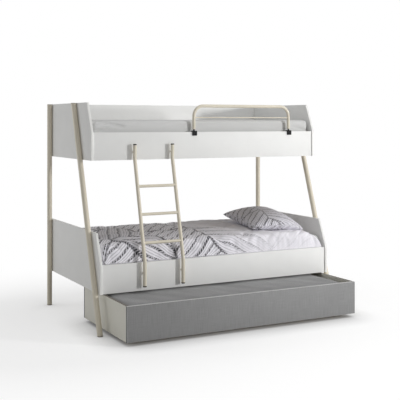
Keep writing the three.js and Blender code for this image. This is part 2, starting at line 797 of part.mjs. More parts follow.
// The trundle: an open box of boards with its mattress, on four castors.
function trundle() {
  const group = new THREE.Group();
  const left = trundleEndInset;
  const right = bedLength - trundleEndInset;
  const rear = trundleFront + trundleDepth;
  const z = [trundleGroundGap, trundleTop];
  const sideY = [trundleFront + trundleBoard + seam, rear - trundleBoard - seam];
  const innerX = [left + trundleBoard + seam, right - trundleBoard - seam];
  const baseZ = trundleGroundGap + trundleBaseGap;
  const baseTop = baseZ + trundleBaseThickness;
  addBoard(group, 'trundle_front', greyBoard, [left, right], [trundleFront, trundleFront + trundleBoard], z);
  addBoard(group, 'trundle_back', greyBoard, [left, right], [rear - trundleBoard, rear], z);
  addBoard(group, 'trundle_left_side', beigeBoard, [left, left + trundleBoard], sideY, z);
  addBoard(group, 'trundle_right_side', beigeBoard, [right - trundleBoard, right], sideY, z);
  addBoard(group, 'trundle_base', plainWood, innerX, sideY, [baseZ, baseTop]);

  const width = sideY[1] - sideY[0] - 2 * trundleMattressSideClearance;
  const thickness = trundleTop - trundleMattressTopDrop - trundleCrown - baseTop - seam;
  const length = innerX[1] - innerX[0] - trundleMattressSideClearance - trundleMattressRightGap;
  const geometry = mattressGeometry(length, width, thickness, trundleCrown);
  const mattress = addMesh(group, 'trundle_mattress', geometry, greyCloth);
  const mattressX = innerX[0] + trundleMattressSideClearance + length / 2;
  mattress.position.set(mattressX, (sideY[0] + sideY[1]) / 2, baseTop + seam);

  const castorX = { left: left + castorInset, right: right - castorInset };
  const castorY = { front: trundleFront + castorInset, rear: rear - castorInset };
  for (const [side, x] of Object.entries(castorX)) {
    for (const [end, y] of Object.entries(castorY)) {
      addCastor(group, `${end}_${side}`, x, y, baseZ);
    }
  }
  return group;
}

// One fixed castor: a folded fork with its axle, and a wheel with a round tread.
function addCastor(group, place, x, y, ceiling) {
  const plateTop = ceiling - seam;
  const cheekX = castorWidth / 2 + castorCheekSlack;
  const cheekFoot = castorRadius - castorCheekReach;
  const cheeks = [-cheekX - castorCheek, cheekX].map((edge) => {
    const half = castorPlateLength / 2;
    const shape = roundedShape(
      [
        [-castorCheekReach, cheekFoot, castorCheekReach],
        [castorCheekReach, cheekFoot, castorCheekReach],
        [half, plateTop - castorPlateThickness, 0],
        [half, plateTop, 0],
        [-half, plateTop, 0],
        [-half, plateTop - castorPlateThickness, 0],
      ],
      cornerSteps,
    );
    return sideExtrusion(shape, castorCheek).translate(edge, 0, 0);
  });
  const plate = new THREE.BoxGeometry(2 * cheekX + 2 * castorCheek, castorPlateLength, castorPlateThickness);
  plate.translate(0, 0, plateTop - castorPlateThickness / 2);
  const axleReach = cheekX + castorCheek;
  const axleEnds = [
    new THREE.Vector3(-axleReach, 0, castorRadius),
    new THREE.Vector3(axleReach, 0, castorRadius),
  ];
  const axle = bar(axleEnds, castorAxle, rodSides);
  const fork = addMesh(group, `castor_${place}_fork`, joined([plate, ...cheeks, axle]), zincSteel);
  fork.position.set(x, y, 0);

  const bore = castorAxle / 2 + castorBoreSlack;
  const half = castorWidth / 2;
  const profile = [
    new THREE.Vector2(bore, -half),
    new THREE.Vector2(castorRadius - castorTreadRadius, -half),
    new THREE.Vector2(castorRadius, -half + castorTreadRadius),
    new THREE.Vector2(castorRadius, half - castorTreadRadius),
    new THREE.Vector2(castorRadius - castorTreadRadius, half),
    new THREE.Vector2(bore, half),
    new THREE.Vector2(bore, -half),
  ];
  const geometry = new THREE.LatheGeometry(profile, wheelSides).rotateZ(-Math.PI / 2);
  const wheel = addMesh(group, `castor_${place}_wheel`, geometry, blackPlastic);
  wheel.position.set(x, y, castorRadius);
}

// The whole bed, moved so that its footprint is centred on the origin.
function bunkBed() {
  const bed = new THREE.Group();
  bed.add(upperBunk(), lowerBunk(), posts(), ladder(), guardRail(), trundle());
  bed.updateMatrixWorld(true);
  const centre = new THREE.Box3().setFromObject(bed, true).getCenter(new THREE.Vector3());
  bed.position.set(-centre.x, -centre.y, 0);
  return bed;
}

export default bunkBed();
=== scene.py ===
"""Looks for a bunk bed with a trundle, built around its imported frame."""

import functools
import logging
import math
from dataclasses import dataclass, field
from enum import Enum
from typing import Callable, Sequence

import bpy
import numpy as np
from mathutils import Matrix, Vector
from mathutils.bvhtree import BVHTree


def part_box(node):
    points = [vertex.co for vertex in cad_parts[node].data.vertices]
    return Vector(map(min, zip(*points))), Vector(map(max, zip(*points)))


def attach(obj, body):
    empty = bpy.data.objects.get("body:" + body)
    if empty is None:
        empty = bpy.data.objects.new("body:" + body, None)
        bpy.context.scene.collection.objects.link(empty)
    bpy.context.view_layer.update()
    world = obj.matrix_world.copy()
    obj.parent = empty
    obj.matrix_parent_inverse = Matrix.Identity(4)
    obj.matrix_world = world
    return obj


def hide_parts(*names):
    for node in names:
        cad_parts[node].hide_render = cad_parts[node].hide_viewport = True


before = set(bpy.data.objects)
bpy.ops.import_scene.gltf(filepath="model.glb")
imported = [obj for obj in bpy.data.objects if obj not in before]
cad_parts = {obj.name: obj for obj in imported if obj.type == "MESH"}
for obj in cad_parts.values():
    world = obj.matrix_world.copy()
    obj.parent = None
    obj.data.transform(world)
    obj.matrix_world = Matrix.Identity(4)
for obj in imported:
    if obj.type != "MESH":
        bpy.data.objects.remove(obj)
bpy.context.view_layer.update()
LOG = logging.getLogger("bunk_bed")

Colour = tuple[float, float, float]
Place = tuple[float, float, float]
Piece = bpy.types.Object
Socket = bpy.types.NodeSocket
Tree = bpy.types.NodeTree
Test = Callable[[Vector, Vector], bool]
Array = np.ndarray

CLOSE = 1e-5
"""Places that are nearer than this, in metres, count as one."""

FACING = 0.9
"""A face whose normal has more than this along an axis faces that way."""

SQUARE_ON = 0.999
"""The same for a face that is square to the axis."""

CLOTH_BEND = 80
"""The sharpest bend in cloth that still looks smooth, in degrees."""

MIDDLE = (0.35, 0.65)
"""The range that most of a noise lies in."""

WIDE_MIDDLE = (0.3, 0.7)
"""The range that nearly all of a noise lies in."""


def linear(colour: Colour) -> tuple[float, float, float, float]:
    """Turns a display colour into the one that a shader reads.

    Args:
        colour: Red, green and blue from 0 to 255.

    Returns:
        The linear colour with an alpha of 1.
    """

    def channel(value: float) -> float:
        """Undoes the display curve of one channel."""
        share = value / 255
        knee, slope, offset, power = 0.04045, 12.92, 0.055, 2.4
        return share / slope if share <= knee else ((share + offset) / (1 + offset)) ** power

    return (*(channel(value) for value in colour), 1.0)


class Grain(Enum):
    """The direction that wood grain runs in."""

    ALONG_LENGTH = "x"
    ALONG_DEPTH = "y"


class Element(Enum):
    """What is picked in edit mode."""

    POINTS = "VERT"
    EDGES = "EDGE"
    FACES = "FACE"


class Bench:
    """The workbench: shapes one piece at a time with Blender's own operators."""

    @staticmethod
    def clear() -> None:
        """Leaves edit mode and deselects every object."""
        if bpy.context.mode != "OBJECT":
            bpy.ops.object.mode_set(mode="OBJECT")
        bpy.ops.object.select_all(action="DESELECT")

    @staticmethod
    def hold(piece: Piece) -> None:
        """Makes a piece the only selected and the active one."""
        Bench.clear()
        piece.select_set(True)
        bpy.context.view_layer.objects.active = piece

    @staticmethod
    def named(name: str) -> Piece:
        """Names the new primitive and puts its place into its mesh.

        Args:
            name: The piece's name.

        Returns:
            The piece, at the origin, unturned and unscaled.
        """
        piece = bpy.context.object
        piece.name = name
        piece.data.name = name
        bpy.ops.object.transform_apply(location=True, rotation=True, scale=True)
        return piece

    @staticmethod
    def block(name: str, low: Vector, high: Vector) -> Piece:
        """Adds a block between two corners.

        Args:
            name: The piece's name.
            low: Its lowest corner.
            high: Its highest corner.

        Returns:
            The block.
        """
        Bench.clear()
        bpy.ops.mesh.primitive_cube_add(size=1, location=(low + high) / 2, scale=high - low)
        return Bench.named(name)

    @staticmethod
    def grid(name: str, centre: Vector, size: Sequence[float], cells: tuple[int, int]) -> Piece:
        """Adds a level grid.

        Args:
            name: The piece's name.
            centre: Its middle.
            size: Its length and width.
            cells: How many cells it has along each.

        Returns:
            The grid.
        """
        Bench.clear()
        columns, rows = cells
        bpy.ops.mesh.primitive_grid_add(x_subdivisions=columns, y_subdivisions=rows, size=1, location=centre)
        bpy.ops.transform.resize(value=(*size, 1), center_override=centre)
        return Bench.named(name)

    @staticmethod
    def rod(name: str, start: Vector, end: Vector, radius: float, sides: int = 32, rim: float = 0.0) -> Piece:
        """Adds a round bar from one point to another.

        Args:
            name: The piece's name.
            start: The middle of its first end.
            end: The middle of its other end.
            radius: Its radius.
            sides: How many sides stand for its roundness.
            rim: How far the edges of its ends are rounded.

        Returns:
            The bar.
        """
        Bench.clear()
        run = end - start
        turn = run.to_track_quat("Z", "Y").to_euler()
        bpy.ops.mesh.primitive_cylinder_add(
            vertices=sides, radius=radius, depth=run.length, location=(start + end) / 2, rotation=turn
        )
        piece = Bench.named(name)
        if rim > 0:
            along = run.normalized()

            def across(centre: Vector, normal: Vector) -> bool:
                """Whether a face is one of the bar's ends."""
                return abs(normal.dot(along)) > FACING

            Bench.round_off(piece, Element.FACES, across, rim, steps=3)
        Bench.smooth(piece)
        return piece

    @staticmethod
    def pick(piece: Piece, element: Element, test: Test) -> None:
        """Selects points, edges or faces by their place and leaves the piece in edit mode.

        Args:
            piece: The piece.
            element: What is picked.
            test: Is given a face's centre and normal, an edge's two ends, or a point and its
                normal, and says whether it is picked.
        """
        Bench.hold(piece)
        bpy.ops.object.mode_set(mode="EDIT")
        bpy.ops.mesh.select_mode(type=element.value)
        bpy.ops.mesh.select_all(action="DESELECT")
        bpy.ops.object.mode_set(mode="OBJECT")
        mesh = piece.data
        if element is Element.FACES:
            for face in mesh.polygons:
                face.select = test(face.center, face.normal)
        elif element is Element.EDGES:
            for edge in mesh.edges:
                first, second = (mesh.vertices[index].co for index in edge.vertices)
                edge.select = test(first, second)
        else:
            for point in mesh.vertices:
                point.select = test(point.co, point.normal)
        bpy.ops.object.mode_set(mode="EDIT")

    @staticmethod
    def pick_all(piece: Piece) -> None:
        """Selects all of a piece and leaves it in edit mode."""
        Bench.hold(piece)
        bpy.ops.object.mode_set(mode="EDIT")
        bpy.ops.mesh.select_mode(type=Element.EDGES.value)
        bpy.ops.mesh.select_all(action="SELECT")

    @staticmethod
    def round_off(piece: Piece, element: Element, test: Test, width: float, steps: int) -> None:
        """Rounds some edges of a piece.

        Args:
            piece: The piece.
            element: Edges, or faces of which the outline is rounded.
            test: As for pick.
            width: How far the rounding reaches from the edge.
            steps: How many faces it has across.
        """
        Bench.pick(piece, element, test)
        if element is Element.FACES:
            bpy.ops.mesh.region_to_loop()
        bpy.ops.mesh.bevel(offset=width, segments=steps, affect="EDGES")

    @staticmethod
    def paint(piece: Piece, material: bpy.types.Material, test: Test) -> None:
        """Gives some faces of a piece a material of their own.

        Args:
            piece: The piece, which has its main material already.
            material: The other material.
            test: Is given a face's centre and normal, and says whether it gets the other one.
        """
        piece.data.materials.append(material)
        Bench.pick(piece, Element.FACES, test)
        piece.active_material_index = len(piece.data.materials) - 1
        bpy.ops.object.material_slot_assign()
        Bench.clear()

    @staticmethod
    def smooth(piece: Piece, angle: float = 35) -> None:
        """Turns the faces outwards and shades them smooth.

        Args:
            piece: The piece that is shaded.
            angle: The sharpest bend between faces that still looks smooth, in degrees.
        """
        Bench.pick_all(piece)
        bpy.ops.mesh.normals_make_consistent(inside=False)
        Bench.hold(piece)
        bpy.ops.object.shade_smooth_by_angle(angle=math.radians(angle))

    @staticmethod
    def apply(piece: Piece, kind: str, **settings: object) -> None:
        """Adds a modifier and applies it.

        Args:
            piece: The piece.
            kind: Blender's name for the modifier.
            settings: The modifier's own settings.
        """
        Bench.hold(piece)
        modifier = piece.modifiers.new(kind.title(), kind)
        for name, value in settings.items():
            setattr(modifier, name, value)
        bpy.ops.object.modifier_apply(modifier=modifier.name)

    @staticmethod
    def join(name: str, pieces: Sequence[Piece]) -> Piece:
        """Makes several pieces one object.

        Args:
            name: The name of what they make.
            pieces: The pieces, of which the first stays.

        Returns:
            The one object.
        """
        Bench.hold(pieces[0])
        for piece in pieces[1:]:
            piece.select_set(True)
        bpy.ops.object.join()
        return Bench.named(name)

    @staticmethod
    def copy(piece: Piece, name: str, step: Vector) -> Piece:
        """Copies a piece with its own mesh.

        Args:
            piece: What is copied.
            name: The copy's name.
            step: How far the copy is moved.

        Returns:
            The copy, with its place in its mesh.
        """
        Bench.hold(piece)
        bpy.ops.object.duplicate(linked=False)
        bpy.ops.transform.translate(value=step)
        return Bench.named(name)


class Wiring:
    """Places and joins the nodes of one node tree."""

    def __init__(self, tree: Tree) -> None:
        """Takes the tree that is wired."""
        self.tree = tree

    def put(self, kind: str, **settings: object) -> bpy.types.Node:
        """Adds a node.

        Args:
            kind: Blender's name for the node.
            settings: The node's own options.

        Returns:
            The node.
        """
        node = self.tree.nodes.new(kind)
        for name, value in settings.items():
            setattr(node, name, value)
        return node

    def feed(self, target: Socket, source: object) -> None:
        """Gives a socket its value.

        Args:
            target: The socket that is fed.
            source: Another socket, or a plain value.
        """
        if isinstance(source, Socket):
            self.tree.links.new(source, target)
        else:
            target.default_value = source

    def maths(self, operation: str, *values: object, clamp: bool = False) -> Socket:
        """Adds a maths node.

        Args:
            operation: What it does.
            values: Its sockets or plain numbers.
            clamp: Whether the result stays from 0 to 1.

        Returns:
            The result's socket.
        """
        node = self.put("ShaderNodeMath", operation=operation, use_clamp=clamp)
        for target, value in zip(node.inputs, values):
            self.feed(target, value)
        return node.outputs[0]

    def noise(self, vector: object, scale: object, detail: float = 3.0, roughness: float = 0.5) -> Socket:
        """Adds a noise texture.

        Args:
            vector: The place that it is read at.
            scale: How many patches it has in a metre.
            detail: How many finer layers it has.
            roughness: How strong the finer layers are.

        Returns:
            The socket of its value.
        """
        node = self.put("ShaderNodeTexNoise")
        self.feed(node.inputs["Vector"], vector)
        self.feed(node.inputs["Scale"], scale)
        node.inputs["Detail"].default_value = detail
        node.inputs["Roughness"].default_value = roughness
        return node.outputs["Fac"]

    def mapped(
        self, value: object, low: float, high: float, start: float = 0.0, end: float = 1.0
    ) -> Socket:
        """Maps a value from one range to another.

        Args:
            value: The value's socket.
            low: Where the range that it is in starts.
            high: Where that range ends.
            start: What the low end becomes.
            end: What the high end becomes.

        Returns:
            The result's socket.
        """
        node = self.put("ShaderNodeMapRange", clamp=True)
        for name, number in (("From Min", low), ("From Max", high), ("To Min", start), ("To Max", end)):
            node.inputs[name].default_value = number
        self.feed(node.inputs["Value"], value)
        return node.outputs["Result"]

    def mixed(self, share: object, first: object, second: object) -> Socket:
        """Mixes two colours.

        Args:
            share: How much of the second colour there is.
            first: The colour at a share of 0.
            second: The colour at a share of 1.

        Returns:
            The result's socket.
        """
        node = self.put("ShaderNodeMix", data_type="RGBA")
        self.feed(node.inputs[0], share)
        self.feed(node.inputs[6], first)
        self.feed(node.inputs[7], second)
        return node.outputs[2]

    def stretched(self, vector: object, scale: Sequence[float]) -> Socket:
        """Stretches the place that a pattern is read at.

        Args:
            vector: The place.
            scale: The scale along each axis.

        Returns:
            The result's socket.
        """
        node = self.put("ShaderNodeMapping")
        self.feed(node.inputs["Vector"], vector)
        node.inputs["Scale"].default_value = scale
        return node.outputs["Vector"]

    def split(self, vector: object) -> bpy.types.Node:
        """Splits a vector and returns the node with its three parts."""
        node = self.put("ShaderNodeSeparateXYZ")
        self.feed(node.inputs[0], vector)
        return node

    def seen(self) -> Socket:
        """The socket that is 1 where the camera sees a surface, also in gloss or through glass."""
        path = self.put("ShaderNodeLightPath").outputs
        direct = self.maths("MAXIMUM", path["Is Camera Ray"], path["Is Glossy Ray"])
        return self.maths("MAXIMUM", direct, path["Is Transmission Ray"])


def built_once(build: Callable[[], Tree]) -> Callable[[], Tree]:
    """Lets a function that builds an effect hand out the group it has built before.

    Args:
        build: The function, whose name is the group's name.

    Returns:
        The function with its memory.
    """

    @functools.wraps(build)
    def remembered() -> Tree:
        """The effect's node group, built the first time that it is asked for."""
        return bpy.data.node_groups.get(build.__name__) or build()

    return remembered


class Effects:
    """The effects that finishes use, each built once as a node group."""

    @staticmethod
    def _open(
        name: str, inputs: Sequence[str], outputs: Sequence[str]
    ) -> tuple[Wiring, bpy.types.NodeOutputs, bpy.types.NodeInputs]:
        """Starts a node group.

        Args:
            name: The group's name.
            inputs: The names of its inputs. They are numbers, apart from the place "Vector".
            outputs: The names of its outputs, which are numbers.

        Returns:
            The wiring, the sockets of what is given and the sockets of what is made.
        """
        tree = bpy.data.node_groups.new(name, "ShaderNodeTree")
        for label in inputs:
            kind = "NodeSocketVector" if label == "Vector" else "NodeSocketFloat"
            tree.interface.new_socket(label, in_out="INPUT", socket_type=kind)
        for label in outputs:
            tree.interface.new_socket(label, in_out="OUTPUT", socket_type="NodeSocketFloat")
        wiring = Wiring(tree)
        return wiring, wiring.put("NodeGroupInput").outputs, wiring.put("NodeGroupOutput").inputs

    @staticmethod
    @built_once
    def fine_grain() -> Tree:
        """A fine moulded or sprayed surface with slow patches of tone."""
        wiring, given, made = Effects._open("fine_grain", ["Vector", "Scale"], ["Height", "Patches"])
        place = given["Vector"]
        fine = wiring.noise(place, given["Scale"], detail=2.0)
        slow = wiring.noise(place, 6.0, detail=4.0, roughness=0.6)
        wiring.feed(made["Height"], fine)
        wiring.feed(made["Patches"], slow)
        return wiring.tree

    @staticmethod
    @built_once
    def weave() -> Tree:
        """A plain weave with uneven yarns."""
        wiring, given, made = Effects._open("weave", ["Vector", "Threads"], ["Height", "Yarn"])
        place = given["Vector"]
        parts = wiring.split(place)
        turns = wiring.maths("MULTIPLY", given["Threads"], math.pi)
        warp = wiring.maths("SINE", wiring.maths("MULTIPLY", parts.outputs[0], turns))
        weft = wiring.maths("SINE", wiring.maths("MULTIPLY", parts.outputs[1], turns))
        height = wiring.mapped(wiring.maths("MULTIPLY", warp, weft), -1.0, 1.0)
        slub_length, slub_width = 12, 420
        warp_slubs = wiring.noise(wiring.stretched(place, (slub_length, slub_width, 1)), 1.0)
        weft_slubs = wiring.noise(wiring.stretched(place, (slub_width, slub_length, 1)), 1.0)
        yarn = wiring.maths("MULTIPLY", wiring.maths("ADD", warp_slubs, weft_slubs), 0.5)
        wiring.feed(made["Height"], height)
        wiring.feed(made["Yarn"], yarn)
        return wiring.tree

    @staticmethod
    @built_once
    def wood_grain() -> Tree:
        """Long fibres and growth rings along the X axis of what it is given."""
        wiring, given, made = Effects._open("wood_grain", ["Vector"], ["Rings", "Fibre"])
        place = given["Vector"]
        ring_turns = 52.0
        bent = wiring.noise(wiring.stretched(place, (1.1, 9, 9)), 1.0, detail=4.0, roughness=0.55)
        rings = wiring.maths("SINE", wiring.maths("MULTIPLY", bent, ring_turns))
        fibre = wiring.noise(wiring.stretched(place, (14, 520, 520)), 1.0)
        wiring.feed(made["Rings"], wiring.mapped(rings, -1.0, 1.0))
        wiring.feed(made["Fibre"], fibre)
        return wiring.tree

    @staticmethod
    @built_once
    def linen_streaks() -> Tree:
        """Crossed streaks of a linen texture pressed into a board's face."""
        wiring, given, made = Effects._open("linen_streaks", ["Vector"], ["Streaks"])
        place = given["Vector"]
        upright = wiring.noise(wiring.stretched(place, (330, 330, 9)), 1.0)
        level = wiring.noise(wiring.stretched(place, (9, 9, 300)), 1.0)
        upright_share = 0.64
        weighed = (
            wiring.maths("MULTIPLY", upright, upright_share),
            wiring.maths("MULTIPLY", level, 1 - upright_share),
        )
        blend = wiring.maths("ADD", *weighed)
        wiring.feed(made["Streaks"], wiring.mapped(blend, 0.36, 0.64))
        return wiring.tree

    @staticmethod
    def _wander(wiring: Wiring, place: Socket) -> Socket:
        """Pushes a place slowly to and fro, so that what is laid out by it has uneven edges.

        Args:
            wiring: The group that it is added to.
            place: The place's socket.

        Returns:
            The socket of the pushed place.
        """
        drift = wiring.put("ShaderNodeTexNoise")
        wiring.feed(drift.inputs["Vector"], place)
        drift.inputs["Scale"].default_value = 3.0
        push = wiring.put("ShaderNodeVectorMath", operation="SCALE")
        wiring.feed(push.inputs[0], drift.outputs["Color"])
        push.inputs["Scale"].default_value = 0.07
        moved = wiring.put("ShaderNodeVectorMath", operation="ADD")
        wiring.feed(moved.inputs[0], place)
        wiring.feed(moved.inputs[1], push.outputs[0])
        return moved.outputs[0]

    @staticmethod
    def _ragged(
        wiring: Wiring,
        wave: Socket,
        place: Socket,
        scale: Sequence[float],
        detail: float,
        reach: float,
    ) -> Socket:
        """Makes the edges of a wave ragged.

        Args:
            wiring: The group that it is added to.
            wave: The wave's socket.
            place: The place that the noise is read at.
            scale: The noise's scale along each axis.
            detail: How many finer layers the noise has.
            reach: How far the noise moves the wave.

        Returns:
            The socket of the ragged wave.
        """
        noise = wiring.noise(wiring.stretched(place, scale), 1.0, detail)
        push = wiring.maths("MULTIPLY", wiring.maths("SUBTRACT", noise, 0.5), reach)
        return wiring.maths("ADD", wave, push)

    @staticmethod
    @built_once
    def brushed_patches() -> Tree:
        """Uneven patches, each brushed its own way with fine strokes and broad ragged bands."""
        wiring, given, made = Effects._open(
            "brushed_patches", ["Vector", "Patches", "Pitch"], ["Tone", "Stroke", "Band"]
        )
        moved = Effects._wander(wiring, given["Vector"])
        laid = wiring.stretched(moved, (1.0, 0.7, 1.0))
        cells, rims = (
            wiring.put("ShaderNodeTexVoronoi", voronoi_dimensions="2D", feature=feature)
            for feature in ("F1", "DISTANCE_TO_EDGE")
        )
        for patches in (cells, rims):
            wiring.feed(patches.inputs["Vector"], laid)
            wiring.feed(patches.inputs["Scale"], given["Patches"])
            patches.inputs["Randomness"].default_value = 0.8
        lots = wiring.put("ShaderNodeSeparateColor")
        wiring.feed(lots.inputs[0], cells.outputs["Color"])
        way, lot, tone = lots.outputs
        wiring.feed(made["Tone"], tone)

        lean = wiring.mapped(wiring.maths("ROUND", way), 0.0, 1.0, 0.62, 2.25)
        lean = wiring.maths("ADD", lean, wiring.mapped(lot, 0.0, 1.0, -0.3, 0.3))
        rotate = wiring.put("ShaderNodeVectorRotate", rotation_type="Z_AXIS")
        wiring.feed(rotate.inputs["Vector"], moved)
        wiring.feed(rotate.inputs["Angle"], lean)
        turned = rotate.outputs[0]
        parts = wiring.split(turned)
        strokes = wiring.maths("MULTIPLY", given["Pitch"], parts.outputs[0])
        turns = wiring.maths("MULTIPLY", strokes, 2 * math.pi)
        stroke = Effects._ragged(wiring, wiring.maths("SINE", turns), turned, (190, 34, 1), 2.0, 2.0)
        wiring.feed(made["Stroke"], wiring.mapped(stroke, 0.2, 0.55))

        strokes_in_a_band = 4
        dashes_in_a_metre = 40
        start_spread = 9.0
        start = wiring.maths("MULTIPLY", lot, start_spread)
        broad = wiring.maths("ADD", wiring.maths("MULTIPLY", turns, 1 / strokes_in_a_band), start)
        torn = Effects._ragged(wiring, wiring.maths("SINE", broad), turned, (60, 120, 1), 1.0, 1.2)
        band = wiring.mapped(torn, 0.76, 0.89)
        rim = wiring.mapped(rims.outputs["Distance"], 0.012, 0.03, 1.0, 0.0)
        slant = wiring.maths("ADD", parts.outputs[1], parts.outputs[0])
        across = wiring.maths("MULTIPLY", slant, 2 * math.pi * dashes_in_a_metre)
        dashes = wiring.mapped(wiring.maths("SINE", across), -0.6, 0.0, 0.35, 1.0)
        lines = wiring.maths("MAXIMUM", band, rim)
        wiring.feed(made["Band"], wiring.maths("MULTIPLY", lines, dashes))
        return wiring.tree


class Sketch(Wiring):
    """A material under way: its Principled shader and the nodes before it."""

    def __init__(self, name: str, roughness: float) -> None:
        """Starts a material.

        Args:
            name: The material's name.
            roughness: The roughness of its shader.
        """
        self.material = bpy.data.materials.new(name)
        self.material.use_nodes = True
        super().__init__(self.material.node_tree)
        self.tree.nodes.clear()
        self.shader = self.put("ShaderNodeBsdfPrincipled")
        self.shade("Roughness", roughness)
        self.output = self.put("ShaderNodeOutputMaterial")
        self.feed(self.output.inputs["Surface"], self.shader.outputs[0])

    def place(self) -> Socket:
        """The socket of Object coordinates."""
        return self.put("ShaderNodeTexCoord").outputs["Object"]

    def cloth_place(self) -> Socket:
        """The socket of the piece's own UV map, in metres of cloth."""
        return self.put("ShaderNodeUVMap", uv_map="cloth").outputs[0]

    def effect(self, group: Tree, **values: object) -> bpy.types.Node:
        """Places an effect with its own values.

        Args:
            group: The effect.
            values: What its inputs are given.

        Returns:
            The effect's node.
        """
        node = self.put("ShaderNodeGroup", node_tree=group)
        for name, value in values.items():
            self.feed(node.inputs[name], value)
        return node

    def bump(self, height: object, distance: float) -> None:
        """Adds a relief to the shader's normal, over those that it has already.

        Args:
            height: The relief's socket.
            distance: How deep it is, in metres.
        """
        node = self.put("ShaderNodeBump")
        node.inputs["Distance"].default_value = distance
        self.feed(node.inputs["Height"], height)
        if self.shader.inputs["Normal"].is_linked:
            earlier = self.shader.inputs["Normal"].links[0].from_socket
            self.feed(node.inputs["Normal"], earlier)
        self.feed(self.shader.inputs["Normal"], node.outputs[0])

    def shade(self, name: str, source: object) -> None:
        """Feeds one input of the shader."""
        self.feed(self.shader.inputs[name], source)


@dataclass(frozen=True)
class Finish:
    """A finish: its name, the record's material slot, which is not used, its colour and its roughness."""

    name: str
    slot: str
    shade: Colour
    rough: float

    def material(self) -> bpy.types.Material:
        """The finish's material, made the first time that it is asked for."""
        label = f"{self.name}_finish"
        found = bpy.data.materials.get(label)
        if found:
            return found
        sketch = Sketch(label, self.rough)
        self.dress(sketch)
        return sketch.material

    def dress(self, sketch: Sketch) -> None:
        """Fills in the material."""
        raise NotImplementedError

    def darker(self, share: float) -> tuple[float, float, float, float]:
        """The shade as a shader colour, made darker by a share."""
        red, green, blue, alpha = linear(self.shade)
        return (red * (1 - share), green * (1 - share), blue * (1 - share), alpha)


@dataclass(frozen=True)
class GrainyFinish(Finish):
    """Melamine, powder coat or moulded plastic: a fine grain over slow patches of tone."""

    grain: float = 900.0
    depth: float = 0.00004
    patches: float = 0.04
    metallic: float = 0.0
    coat: float = 0.0
    specular: float = 0.5
    smoother: float = 0.05
    rougher: float = 0.06

    def dress(self, sketch: Sketch) -> None:
        """Fills in the material."""
        effect = sketch.effect(Effects.fine_grain(), Vector=sketch.place(), Scale=self.grain)
        patches = effect.outputs["Patches"]
        share = sketch.mapped(patches, *MIDDLE)
        sketch.shade("Base Color", sketch.mixed(share, self.darker(0.0), self.darker(self.patches)))
        ends = (self.rough - self.smoother, self.rough + self.rougher)
        sketch.shade("Roughness", sketch.mapped(patches, *WIDE_MIDDLE, *ends))
        sketch.bump(effect.outputs["Height"], self.depth)
        sketch.shade("Metallic", self.metallic)
        sketch.shade("Coat Weight", self.coat)
        sketch.shade("Specular IOR Level", self.specular)


@dataclass(frozen=True)
class LinenBoardFinish(Finish):
    """A board faced with a pressed linen texture, slightly darker in slow patches."""

    contrast: float = 0.22
    depth: float = 0.00012
    patches: float = 0.10
    patch_shade: float = 0.5

    def dress(self, sketch: Sketch) -> None:
        """Fills in the material."""
        streaks = sketch.effect(Effects.linen_streaks(), Vector=sketch.place()).outputs["Streaks"]
        slow = sketch.effect(Effects.fine_grain(), Vector=sketch.place()).outputs["Patches"]
        woven = sketch.mixed(streaks, self.darker(self.contrast), self.darker(0.0))
        share = sketch.mapped(slow, *MIDDLE, 0.0, self.patches)
        sketch.shade("Base Color", sketch.mixed(share, woven, self.darker(self.patch_shade)))
        sketch.bump(streaks, self.depth)


@dataclass(frozen=True)
class WoodFinish(Finish):
    """Plain pale wood with its grain along one direction."""

    grain: Grain = Grain.ALONG_LENGTH
    ring_shade: float = 0.26
    fibre_shade: float = 0.4
    fibre_share: float = 0.35
    smoother: float = 0.08
    rougher: float = 0.1
    depth: float = 0.00015

    def dress(self, sketch: Sketch) -> None:
        """Fills in the material."""
        turned = sketch.put("ShaderNodeMapping")
        sketch.feed(turned.inputs["Vector"], sketch.place())
        if self.grain is Grain.ALONG_DEPTH:
            turned.inputs["Rotation"].default_value = (0, 0, math.radians(-90))
        effect = sketch.effect(Effects.wood_grain(), Vector=turned.outputs[0])
        fibre = effect.outputs["Fibre"]
        rings = sketch.mixed(effect.outputs["Rings"], self.darker(0.0), self.darker(self.ring_shade))
        share = sketch.mapped(fibre, *WIDE_MIDDLE, 0.0, self.fibre_share)
        sketch.shade("Base Color", sketch.mixed(share, rings, self.darker(self.fibre_shade)))
        ends = (self.rough - self.smoother, self.rough + self.rougher)
        sketch.shade("Roughness", sketch.mapped(fibre, *WIDE_MIDDLE, *ends))
        sketch.bump(fibre, self.depth)


@dataclass(frozen=True)
class ClothFinish(Finish):
    """Plain woven cloth."""

    threads: float = 900.0
    contrast: float = 0.12
    sheen: float = 0.1
    sheen_rough: float = 0.5
    specular: float = 0.25
    weave_depth: float = 0.00012
    yarn_depth: float = 0.00035

    def dress(self, sketch: Sketch) -> None:
        """Fills in the material."""
        effect = sketch.effect(Effects.weave(), Vector=sketch.cloth_place(), Threads=self.threads)
        yarn = sketch.mapped(effect.outputs["Yarn"], *MIDDLE)
        sketch.shade("Base Color", sketch.mixed(yarn, self.darker(self.contrast), self.darker(0.0)))
        self.finish_cloth(sketch, effect)

    def finish_cloth(self, sketch: Sketch, effect: bpy.types.Node) -> None:
        """Gives the cloth its relief and its sheen.

        Args:
            sketch: The material.
            effect: The weave's node in it.
        """
        sketch.bump(effect.outputs["Height"], self.weave_depth)
        sketch.bump(effect.outputs["Yarn"], self.yarn_depth)
        sketch.shade("Sheen Weight", self.sheen)
        sketch.shade("Sheen Roughness", self.sheen_rough)
        sketch.shade("Specular IOR Level", self.specular)


